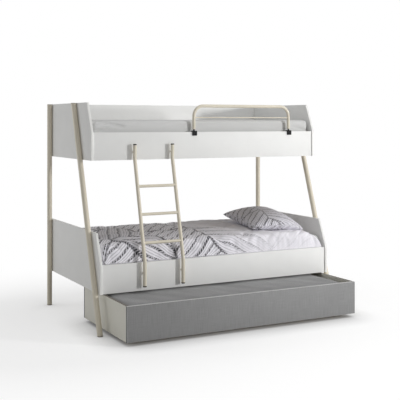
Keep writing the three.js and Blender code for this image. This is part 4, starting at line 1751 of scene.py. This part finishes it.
@dataclass
class Mattress(SoftPiece):
    """A mattress in its cover, with rolled edges, a crown and slow waves in its top.

    A sag is its depth, its reach and the place of its end along the bed. A part of the waves is its
    strength, how fast it runs along and across the bed, and its start.
    """

    node: str = ""
    corner: float = 0.024
    roll: float = 0.026
    inset: float = 0.003
    top_room: float = 0.004
    base_room: float = 0.0002
    held_height: float = 0.004
    pressure: float = 4.0
    cap: float = 0.006
    frames: int = 16
    sag: tuple[float, float, float] = (0.0, 0.1, 0.0)
    waves: float = 0.0
    wave_level: float = 1.2
    wave_parts: tuple[tuple[float, float, float, float], ...] = (
        (1.0, 9.1, 3.0, 0.0),
        (0.7, 16.3, -7.7, 1.1),
        (0.4, 29.0, 19.0, 0.0),
    )
    welt: bool = False
    welt_drop: float = 0.017
    welt_inset: float = 0.006
    welt_radius: float = 0.0028
    voxel: float = 0.019

    def build(self) -> Piece:
        """Builds the mattress and returns it."""
        low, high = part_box(self.node)
        keep = Vector((self.inset, self.inset, 0))
        top = Vector((self.inset, self.inset, self.top_room))
        piece = Bench.block(self.name, low + keep, high - top)

        def upright(first: Vector, second: Vector) -> bool:
            """Whether an edge is one of the four corners."""
            return abs(first.z - second.z) > CLOSE

        def level(centre: Vector, normal: Vector) -> bool:
            """Whether a face is the top or the underside."""
            return abs(normal.z) > FACING

        Bench.round_off(piece, Element.EDGES, upright, self.corner, steps=8)
        Bench.round_off(piece, Element.FACES, level, self.roll, steps=6)
        Bench.hold(piece)
        piece.data.remesh_voxel_size = self.voxel
        bpy.ops.object.voxel_remesh()
        held = self.places(piece)[:, 2] < low.z + self.held_height
        self.swell(piece, self.pressure, 0.0, self.cap, self.frames, held)
        self.form(piece, low, high)
        Bench.apply(piece, "SUBSURF", levels=1, render_levels=1)
        self.crease(piece)
        self.keep_inside(piece, low, high)
        Bench.smooth(piece, CLOTH_BEND)
        self.map_cloth(piece, self.unroll(self.places(piece), np.array(low), np.array(high)))
        settle(piece, self.body, self.finish, self.node)
        if self.welt:
            self.add_welt(low, high)
        return piece

    def form(self, piece: Piece, low: Vector, high: Vector) -> None:
        """Lowers an end that sags and gives the top its slow waves.

        Args:
            piece: The mattress.
            low: Its CAD solid's lowest corner.
            high: Its CAD solid's highest corner.
        """
        places = self.places(piece)
        x, y = places[:, 0], places[:, 1]
        depth, reach, end = self.sag
        up = np.clip((places[:, 2] - low.z) / (high.z - low.z), 0, 1)
        near = np.exp(-(((x - end) / reach) ** 2))
        wave = sum(
            strength * np.sin(along * x + across * y + start)
            for strength, along, across, start in self.wave_parts
        )
        places[:, 2] -= depth * near * up**2
        places[:, 2] += self.waves * (wave - self.wave_level) * up**4
        self.move(piece, places)

    def keep_inside(self, piece: Piece, low: Vector, high: Vector) -> None:
        """Keeps the mattress in the space of its CAD solid."""
        places = self.places(piece)
        self.move(piece, np.clip(places, np.array(low) + (0, 0, self.base_room), np.array(high)))

    def add_welt(self, low: Vector, high: Vector) -> None:
        """Sews a welt round the upper edge of the cover.

        Args:
            low: Its CAD solid's lowest corner.
            high: Its CAD solid's highest corner.
        """
        middle = (low + high) / 2
        centre = Vector((middle.x, middle.y, high.z - self.welt_drop))
        size = [span - 2 * self.welt_inset for span in (high - low).xy]
        welt = Bench.grid(f"{self.name}_welt", centre, size, (1, 1))
        Bench.pick_all(welt)
        bpy.ops.mesh.select_mode(type=Element.POINTS.value)
        bpy.ops.mesh.select_all(action="SELECT")
        bpy.ops.mesh.bevel(offset=self.corner, segments=10, affect="VERTICES")
        bpy.ops.mesh.delete(type="ONLY_FACE")
        Bench.hold(welt)
        bpy.ops.object.convert(target="CURVE")
        welt = bpy.context.object
        welt.data.bevel_depth = self.welt_radius
        welt.data.bevel_resolution = 3
        bpy.ops.object.convert(target="MESH")
        welt = bpy.context.object
        Bench.smooth(welt, angle=60)
        places = self.places(welt)
        self.map_cloth(welt, places[:, :2])
        settle(welt, self.body, self.finish)


@dataclass
class Pillow(SoftPiece):
    """A pillow of two sheets sewn round their edge and filled.

    It is drawn level round the origin and then turned, tilted and laid in its place.
    """

    node: str = "pillow"
    cut: tuple[float, float] = (0.52, 0.82)
    size: tuple[float, float, float] = (0.450, 0.740, 0.178)
    tilt: float = 3.0
    turn: float = -10.0
    droop: tuple[float, float] = (0.016, 0.036)
    fuller: float = 0.40
    stuffing: float = 0.62
    dome: float = 0.40
    sink: float = 0.004
    thickness: float = 0.010
    pressure: float = 3.4
    cap: float = 1.0
    frames: int = 34
    under_print: float = 3.7
    columns: int = 36
    rows: int = 56

    def build(self) -> Piece:
        """Builds the pillow and returns it."""
        piece = Bench.grid(self.name, Vector((0, 0, 0)), self.cut, (self.columns, self.rows))
        Bench.pick_all(piece)
        bpy.ops.mesh.extrude_region_move(TRANSFORM_OT_translate={"value": (0, 0, self.thickness)})
        Bench.smooth(piece, CLOTH_BEND)
        flat = self.places(piece)
        free = np.zeros(len(flat), dtype=bool)
        self.swell(piece, self.pressure, 0.0, self.cap, self.frames, free)
        self.level(piece, flat)
        self.crease(piece)
        places = self.places(piece)
        share = places[:, 0] / np.abs(places[:, 0]).max()
        places[:, 2] *= 1 + np.where(share > 0, self.fuller, self.fuller / 3) * share
        middle = (places.max(axis=0) + places.min(axis=0)) / 2
        places = (places - middle) * (np.array(self.size) / (places.max(axis=0) - places.min(axis=0)))
        places[:, 2] -= np.where(share > 0, self.droop[1], self.droop[0]) * share**2
        self.move(piece, places)
        Bench.apply(piece, "SUBSURF", levels=1, render_levels=1)
        fine = self.places(piece)
        scale = np.array(self.cut) / np.array(self.size[:2])
        other_print = np.where(fine[:, 2] > 0, 0.0, self.under_print)
        self.map_cloth(piece, fine[:, :2] * scale + np.stack([0 * other_print, other_print], axis=1))
        low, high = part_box(self.node)
        place = Matrix.Translation((low + high) / 2 - Vector((0, 0, self.sink)))
        turn = Matrix.Rotation(math.radians(self.turn), 4, "Z")
        tilt = Matrix.Rotation(math.radians(self.tilt), 4, "X")
        piece.data.transform(place @ (turn @ tilt))
        Bench.smooth(piece, CLOTH_BEND)
        settle(piece, self.body, self.finish, self.node)
        return piece

    def level(self, piece: Piece, flat: Array) -> None:
        """Brings the seam back to one level, where the simulation has curled it.

        Args:
            piece: The pillow.
            flat: Its points before the simulation, a lower and an upper one at each place.
        """
        places = self.places(piece)
        order = np.lexsort((flat[:, 2], flat[:, 1].round(6), flat[:, 0].round(6)))
        lower, upper = order[0::2], order[1::2]
        middle = (places[lower, 2] + places[upper, 2]) / 2
        places[lower, 2] -= middle
        places[upper, 2] -= middle
        full = self.filled(flat)
        places *= (full.max(axis=0) - full.min(axis=0)) / (places.max(axis=0) - places.min(axis=0))
        self.move(piece, places * (1 - self.stuffing) + full * self.stuffing)

    def filled(self, flat: Array) -> Array:
        """Shapes a plain, well filled pillow of the same cloth.

        Args:
            flat: The points of the two sheets while they are flat.

        Returns:
            The points of the filled pillow.
        """
        share = flat[:, :2] / (np.array(self.cut) / 2)
        swell = np.maximum((1 - share[:, 0] ** 2) * (1 - share[:, 1] ** 2), 0) ** self.dome
        side = np.where(flat[:, 2] > self.thickness / 2, 1.0, -1.0)
        puffed = flat.copy()
        puffed[:, :2] *= np.array(self.size[:2]) / np.array(self.cut)
        puffed[:, 2] = side * swell * self.size[2] / 2
        return puffed


@dataclass
class Duvet(SoftPiece):
    """A duvet tucked in all round: a puffed top over a floor that follows the mattress."""

    node: str = "coverlet"
    columns: int = 148
    rows: int = 84
    edge_run: float = 0.070
    head_run: float = 0.21
    edge_power: float = 2.5
    head_power: float = 1.9
    loft: float = 0.042
    crown: float = 0.012
    roll: float = 0.026
    gap: float = 0.0015
    overlap: float = 0.002
    thinnest: float = 0.004
    room: float = 0.003
    hem: float = 0.02
    pressure: float = 0.5
    growth: float = 0.045
    cap: float = 0.013
    frames: int = 18

    def build(self, pillow: Piece) -> Piece:
        """Builds the duvet.

        Args:
            pillow: The pillow that lies on it.

        Returns:
            The duvet.
        """
        low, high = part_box(self.node)
        bed_low, bed_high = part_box("lower_mattress")
        rise = bed_high.z - Mattress.top_room + self.loft - low.z
        u, v = np.meshgrid(self.spread(self.columns), self.spread(self.rows), indexing="ij")
        half_x, half_y = (high.x - low.x) / 2, (high.y - low.y) / 2
        x = (low.x + high.x) / 2 + u * half_x
        y = (low.y + high.y) / 2 + v * half_y
        head = self.edge(u, half_x, self.head_run, self.head_power)
        edge = np.where(u > 0, head, self.edge(u, half_x)) * self.edge(v, half_y)
        top = low.z + edge * (rise + self.crown * (1 - u**2) * (1 - v**2) + self.puffs(x, y, u, v))
        floor = self.floor(x, y, low.z, bed_low, bed_high)
        floor = np.minimum(floor, top - self.thinnest * (edge > 0))
        floor[edge <= 0] = top[edge <= 0]
        piece = self.shell(x, y, top, floor)
        flat = self.flat_map(x, y, top)
        count = x.size
        held = np.ones(len(piece.data.vertices), dtype=bool)
        held[:count] = (edge <= self.hem).ravel()
        self.swell(piece, self.pressure, self.growth, self.cap, self.frames, held)
        self.crease(piece)
        self.make_room(piece, pillow, count, bed_low.z)
        self.keep_clear(piece, low, high, count, floor)
        self.map_cloth(piece, flat)
        Bench.apply(piece, "SUBSURF", levels=1, render_levels=1)
        Bench.smooth(piece, CLOTH_BEND)
        settle(piece, self.body, self.finish, self.node)
        return piece

    @staticmethod
    def spread(steps: int) -> Array:
        """Places from -1 to 1 that lie closer together towards both ends."""
        even_share, gathered_share = 0.45, 0.55
        even = np.linspace(-1, 1, steps + 1)
        return even_share * even + gathered_share * np.sin(even * math.pi / 2)

    def edge(self, share: Array, half: float, run: float = 0.0, power: float = 0.0) -> Array:
        """How far the duvet has risen at a distance from its edge, from 0 to 1.

        Args:
            share: The places as shares of the half length, from -1 to 1.
            half: The half length.
            run: The distance over which the duvet rises.
            power: How round the rise is.

        Returns:
            The share of the full height at each place.
        """
        run, power = run or self.edge_run, power or self.edge_power
        distance = np.minimum((1 - np.abs(share)) * half, run) / run
        return (1 - (1 - distance) ** power) ** (1 / power)

    @staticmethod
    def puffs(x: Array, y: Array, u: Array, v: Array) -> Array:
        """Works out the quilting, the long folds and the puffs of the duvet's top.

        Args:
            x: Places along the bed.
            y: Places across the bed.
            u: Shares of the half length, from -1 to 1.
            v: Shares of the half width, from -1 to 1.

        Returns:
            How far each point stands above the plain top.
        """
        quilt_depth, quilt_pitch, quilt_slant = 0.0035, 0.095, 1.3
        fold_depth, fold_pitch = 0.0035, 0.21
        slow_depth, fine_depth, head_slope = 0.004, 0.0016, 0.005
        rising = np.sin(math.pi * (x + quilt_slant * y) / quilt_pitch)
        falling = np.sin(math.pi * (x - quilt_slant * y) / quilt_pitch)
        quilt = np.abs(rising * falling) ** 0.5
        fold = fold_depth * np.sin(2 * math.pi * (x + y) / fold_pitch) * (1 - v) + quilt_depth * quilt
        slow = slow_depth * np.sin(7.3 * x + 1.7 * y + 0.6) * np.cos(6.1 * y - 2.2 * x)
        fine = fine_depth * np.sin(31 * x - 17 * y + 2 * np.sin(6 * x)) * np.cos(23 * y + 5 * x)
        return fold + (slow - head_slope * (1 + u)) + fine * (1 - u**4)

    def floor(self, x: Array, y: Array, hem: float, low: Vector, high: Vector) -> Array:
        """The height of the duvet's underside, which lies on the mattress.

        Args:
            x: Places along the bed.
            y: Places across the bed.
            hem: The height of the tucked edge.
            low: The mattress's lowest corner.
            high: The mattress's highest corner.

        Returns:
            The height at each point.
        """
        inside = np.minimum(np.minimum(x - low.x, high.x - x), np.minimum(y - low.y, high.y - y))
        depth = np.clip(inside, 0, self.roll)
        arc = high.z - self.roll + np.sqrt(np.maximum(self.roll**2 - (self.roll - depth) ** 2, 0))
        return np.where(inside > -self.overlap, arc + self.gap, hem)

    def shell(self, x: Array, y: Array, top: Array, floor: Array) -> Piece:
        """Makes the closed mesh of the duvet.

        Args:
            x: Places along the bed.
            y: Places across the bed.
            top: The top's height at each point.
            floor: The underside's height at each point.

        Returns:
            The duvet's object, with the points of its top first.
        """
        columns, rows = self.columns, self.rows
        count = x.size
        upper = np.arange(count).reshape(columns + 1, rows + 1)
        lower = upper.copy()
        inner = np.zeros_like(upper, dtype=bool)
        inner[1:-1, 1:-1] = True
        lower[inner] = count + np.arange(inner.sum())
        over = np.stack([x.ravel(), y.ravel(), top.ravel()], axis=1)
        under = np.stack([x[inner], y[inner], floor[inner]], axis=1)
        faces = []
        for grid, turned in ((upper, False), (lower, True)):
            quads = np.stack([grid[:-1, :-1], grid[1:, :-1], grid[1:, 1:], grid[:-1, 1:]], axis=-1)
            quads = quads.reshape(-1, 4)
            faces += (quads[:, ::-1] if turned else quads).tolist()
        mesh = bpy.data.meshes.new(self.name)
        mesh.from_pydata(np.concatenate([over, under]).tolist(), [], faces)
        mesh.update()
        piece = bpy.data.objects.new(self.name, mesh)
        bpy.context.scene.collection.objects.link(piece)
        Bench.smooth(piece, CLOTH_BEND)
        return piece

    def flat_map(self, x: Array, y: Array, top: Array) -> Array:
        """Works out where each point lies in the flat cloth, by lengths along the surface.

        Args:
            x: Places along the bed.
            y: Places across the bed.
            top: The top's height at each point.

        Returns:
            The places of the top's points and then of the underside's.
        """
        along = np.sqrt(np.diff(x, axis=0) ** 2 + np.diff(top, axis=0) ** 2)
        across = np.sqrt(np.diff(y, axis=1) ** 2 + np.diff(top, axis=1) ** 2)
        flat_x = np.vstack([np.zeros((1, x.shape[1])), np.cumsum(along, axis=0)])
        flat_y = np.hstack([np.zeros((x.shape[0], 1)), np.cumsum(across, axis=1)])
        flat_x -= flat_x[self.columns // 2]
        flat_y -= flat_y[:, [self.rows // 2]]
        upper = np.stack([flat_x.ravel(), flat_y.ravel()], axis=1)
        under = np.stack([x[1:-1, 1:-1].ravel(), y[1:-1, 1:-1].ravel()], axis=1)
        return np.concatenate([upper, under])

    def make_room(self, piece: Piece, pillow: Piece, count: int, below: float) -> None:
        """Presses the top down under the pillow.

        Args:
            piece: The duvet.
            pillow: The pillow on it.
            count: How many points the top has.
            below: A height that is under the pillow everywhere.
        """
        tree = BVHTree.FromObject(pillow, bpy.context.evaluated_depsgraph_get())
        places = self.places(piece)
        for index in range(count):
            x, y, z = places[index]
            hit = tree.ray_cast(Vector((x, y, below)), Vector((0, 0, 1)))[0]
            if hit is not None:
                places[index, 2] = min(z, hit.z - self.room)
        self.move(piece, places)

    def keep_clear(self, piece: Piece, low: Vector, high: Vector, count: int, floor: Array) -> None:
        """Keeps the duvet between the boards and its top above its underside.

        Args:
            piece: The duvet.
            low: Its CAD solid's lowest corner.
            high: Its CAD solid's highest corner.
            count: How many points the top has.
            floor: The height of the underside at each of them.
        """
        places = self.places(piece)
        places[:count, 2] = np.maximum(places[:count, 2], floor.ravel() + self.room)
        border = np.zeros(floor.shape, dtype=bool)
        border[[0, -1], :] = True
        border[:, [0, -1]] = True
        places[:count][border.ravel(), 2] = low.z
        places[:, 0] = np.clip(places[:, 0], low.x, high.x)
        places[:, 1] = np.clip(places[:, 1], low.y, high.y)
        self.move(piece, places)


@dataclass
class Bedding:
    """The three mattresses, the duvet and the pillow."""

    def build(self) -> None:
        """Builds every soft piece."""
        Mattress(
            "upper_mattress_sheet",
            "bed",
            WHITE_SHEET,
            self.sheet_pulls(),
            node="upper_mattress",
            corner=0.014,
            sag=(0.012, 0.09, -0.96),
            waves=0.0009,
            voxel=0.0145,
        ).build()
        Mattress("lower_mattress_sheet", "bed", WHITE_SHEET, node="lower_mattress").build()
        Mattress(
            "trundle_mattress_cover",
            "trundle",
            GREY_COVER,
            node="trundle_mattress",
            corner=0.026,
            roll=0.022,
            welt=True,
            waves=0.0030,
        ).build()
        pillow = Pillow("printed_pillow", "bed", PILLOW_PRINT).build()
        Duvet("printed_duvet", "bed", DUVET_PRINT, self.duvet_folds()).build(pillow)

    @staticmethod
    def sheet_pulls() -> tuple[Crease, ...]:
        """The pulls in the upper sheet's front, at both of its ends."""
        inset = 0.004
        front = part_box("upper_mattress")[0].y + inset
        pulls = (
            ((-0.957, 1.517), (-0.72, 1.483), 0.011, -0.019),
            ((-0.957, 1.497), (-0.66, 1.494), 0.013, 0.009),
            ((-0.957, 1.446), (-0.83, 1.478), 0.010, -0.016),
            ((-0.955, 1.468), (-0.80, 1.472), 0.009, 0.009),
            ((0.955, 1.446), (0.80, 1.474), 0.010, -0.006),
        )
        return tuple(
            Crease((start[0], front, start[1]), (end[0], front, end[1]), width, depth)
            for start, end, width, depth in pulls
        )

    @staticmethod
    def duvet_folds() -> tuple[Crease, ...]:
        """The folds that gather at the duvet's right front corner and along its tuck."""
        low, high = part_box("coverlet")
        inset, gather_width, tuck_width, tuck_reach = 0.02, 0.016, 0.018, 0.26
        top = high.z - inset
        corner = (high.x - inset, low.y + inset, low.z + inset / 2)
        gathers = (
            (94, 0.24, -0.016),
            (106, 0.30, 0.010),
            (119, 0.28, -0.017),
            (132, 0.32, 0.010),
            (146, 0.30, -0.016),
            (160, 0.34, 0.009),
            (170, 0.30, -0.014),
        )
        tucks = (
            (-0.80, 0.10, -0.009),
            (-0.52, -0.06, -0.008),
            (-0.12, 0.09, -0.009),
            (0.16, -0.05, -0.008),
            (0.45, 0.12, -0.010),
            (0.62, 0.05, -0.009),
        )
        folds = []
        for angle, length, depth in gathers:
            turn = math.radians(angle)
            end = (corner[0] + length * math.cos(turn), corner[1] + length * math.sin(turn), top)
            folds.append(Crease(corner, end, gather_width, depth))
        for x, lean, depth in tucks:
            start, end = (x, low.y + 0.01, low.z + 0.03), (x + lean, low.y + tuck_reach, top)
            folds.append(Crease(start, end, tuck_width, depth))
        return tuple(folds)


@dataclass(frozen=True)
class Lamp:
    """A square lamp: its name, where it hangs, what it faces, its side and its power."""

    name: str
    place: Place
    aim: Place
    size: float
    power: float

    def hang(self) -> None:
        """Hangs the lamp."""
        Bench.clear()
        turn = (Vector(self.aim) - Vector(self.place)).to_track_quat("-Z", "Y").to_euler()
        bpy.ops.object.light_add(type="AREA", location=self.place, rotation=turn)
        lamp = bpy.context.object
        lamp.name = self.name
        lamp.data.shape = "SQUARE"
        lamp.data.size = self.size
        lamp.data.energy = self.power


@dataclass
class Studio:
    """The camera, the floor, the lamps and the background."""

    camera_place: Place = (-3.1404, -5.9948, 1.5152)
    camera_turn: float = -27.667
    lens: float = 75.66
    shift: float = -0.1954
    lamps: tuple[Lamp, ...] = (
        Lamp("key_lamp", (5.35, -6.25, 2.1), (0.0, -0.2, 0.75), 0.7, 322.0),
        Lamp("left_lamp", (-5.2, 3.2, 2.0), (0.0, 0.0, 0.75), 1.5, 38.0),
        Lamp("top_lamp", (1.0, -0.3, 4.6), (0.2, 0.0, 0.4), 3.5, 45.0),
    )
    world_level: float = 0.27
    floor_size: float = 60.0
    floor_drop: float = 0.0002
    floor_rough: float = 0.8
    floor_shade: Colour = (250, 250, 250)
    floor_specular: float = 0.1
    # Near the bed the floor's glow is a painted light. These are its share and strength, how far its middle
    # is moved to the left so that the left keeps more shade, how it is stretched, where it fades out, and the
    # reach of the occlusion that dims it, a painted contact shade.
    floor_share: float = 0.45
    floor_glow: float = 1.30
    floor_shift: float = 0.75
    floor_scale: tuple[float, float, float] = (0.55, 0.85, 0)
    floor_fade: tuple[float, float] = (0.9, 2.2)
    contact: float = 0.25

    def build(self) -> None:
        """Sets the studio up."""
        self.camera()
        self.floor()
        for lamp in self.lamps:
            lamp.hang()
        self.background()

    def camera(self) -> None:
        """Places the camera where the photograph was taken from."""
        Bench.clear()
        turn = (math.radians(90), 0, math.radians(self.camera_turn))
        bpy.ops.object.camera_add(location=self.camera_place, rotation=turn)
        camera = bpy.context.object
        camera.name = "photo_camera"
        camera.data.sensor_width = 36
        camera.data.lens = self.lens
        camera.data.shift_y = self.shift
        camera.data.dof.use_dof = False
        camera.data.clip_end = 200
        bpy.context.scene.camera = camera

    def floor(self) -> None:
        """Lays the pale floor, which glows white for the camera and fades to plain white away from the bed.
        Near the bed the glow is dimmed by occlusion, a painted contact shade, and its middle is moved to the
        left, so that the floor keeps more shade on the left and is painted lighter on the right.
        """
        Bench.clear()
        bpy.ops.mesh.primitive_plane_add(size=self.floor_size, location=(0, 0, -self.floor_drop))
        floor = Bench.named("studio_floor")
        sketch = Sketch("studio_floor", self.floor_rough)
        sketch.shade("Base Color", linear(self.floor_shade))
        sketch.shade("Specular IOR Level", self.floor_specular)
        # The glow's middle is moved to the left: the floor keeps more shade on the left and is painted
        # lighter on the right.
        shifted = sketch.put("ShaderNodeVectorMath", operation="ADD")
        sketch.feed(shifted.inputs[0], sketch.place())
        shifted.inputs[1].default_value = (self.floor_shift, 0, 0)
        length = sketch.put("ShaderNodeVectorMath", operation="LENGTH")
        sketch.feed(length.inputs[0], sketch.stretched(shifted.outputs[0], self.floor_scale))
        away = length.outputs["Value"]
        fade = sketch.mapped(away, *self.floor_fade, self.floor_share, 1.0)
        glow = sketch.mapped(away, *self.floor_fade, self.floor_glow, 1.0)
        # Occlusion dims the glow near the bed: a painted contact shade.
        near = sketch.put("ShaderNodeAmbientOcclusion", samples=16)
        near.inputs["Distance"].default_value = self.contact
        white = sketch.put("ShaderNodeEmission")
        sketch.feed(white.inputs["Strength"], sketch.maths("MULTIPLY", glow, near.outputs["AO"]))
        mix = sketch.put("ShaderNodeMixShader")
        sketch.feed(mix.inputs[0], sketch.maths("MULTIPLY", fade, sketch.seen()))
        sketch.feed(mix.inputs[1], sketch.shader.outputs[0])
        sketch.feed(mix.inputs[2], white.outputs[0])
        sketch.feed(sketch.output.inputs["Surface"], mix.outputs[0])
        floor.data.materials.append(sketch.material)

    def background(self) -> None:
        """Lights the bed evenly from all round and shows plain white behind it."""
        world = bpy.data.worlds.new("studio_world")
        bpy.context.scene.world = world
        world.use_nodes = True
        wiring = Wiring(world.node_tree)
        wiring.tree.nodes.clear()
        back = wiring.put("ShaderNodeBackground")
        back.inputs["Color"].default_value = linear((255, 255, 255))
        wiring.feed(back.inputs["Strength"], wiring.mapped(wiring.seen(), 0.0, 1.0, self.world_level, 1.0))
        output = wiring.put("ShaderNodeOutputWorld")
        wiring.feed(output.inputs["Surface"], back.outputs[0])


def main() -> None:
    """Builds the studio and every sub-assembly in order."""
    logging.basicConfig(level=logging.INFO, format="%(name)s: %(message)s")
    bpy.context.scene.view_settings.view_transform = "Standard"
    for assembly in (
        Studio(),
        BunkBoards(),
        SlatBase(),
        *(Post(name) for name in ("front_left", "front_right", "rear_left", "rear_right")),
        Ladder(),
        GuardRail(),
        TrundleBox(),
        Bedding(),
    ):
        LOG.info("building %s", type(assembly).__name__)
        assembly.build()


if __name__ == "__main__":
    main()
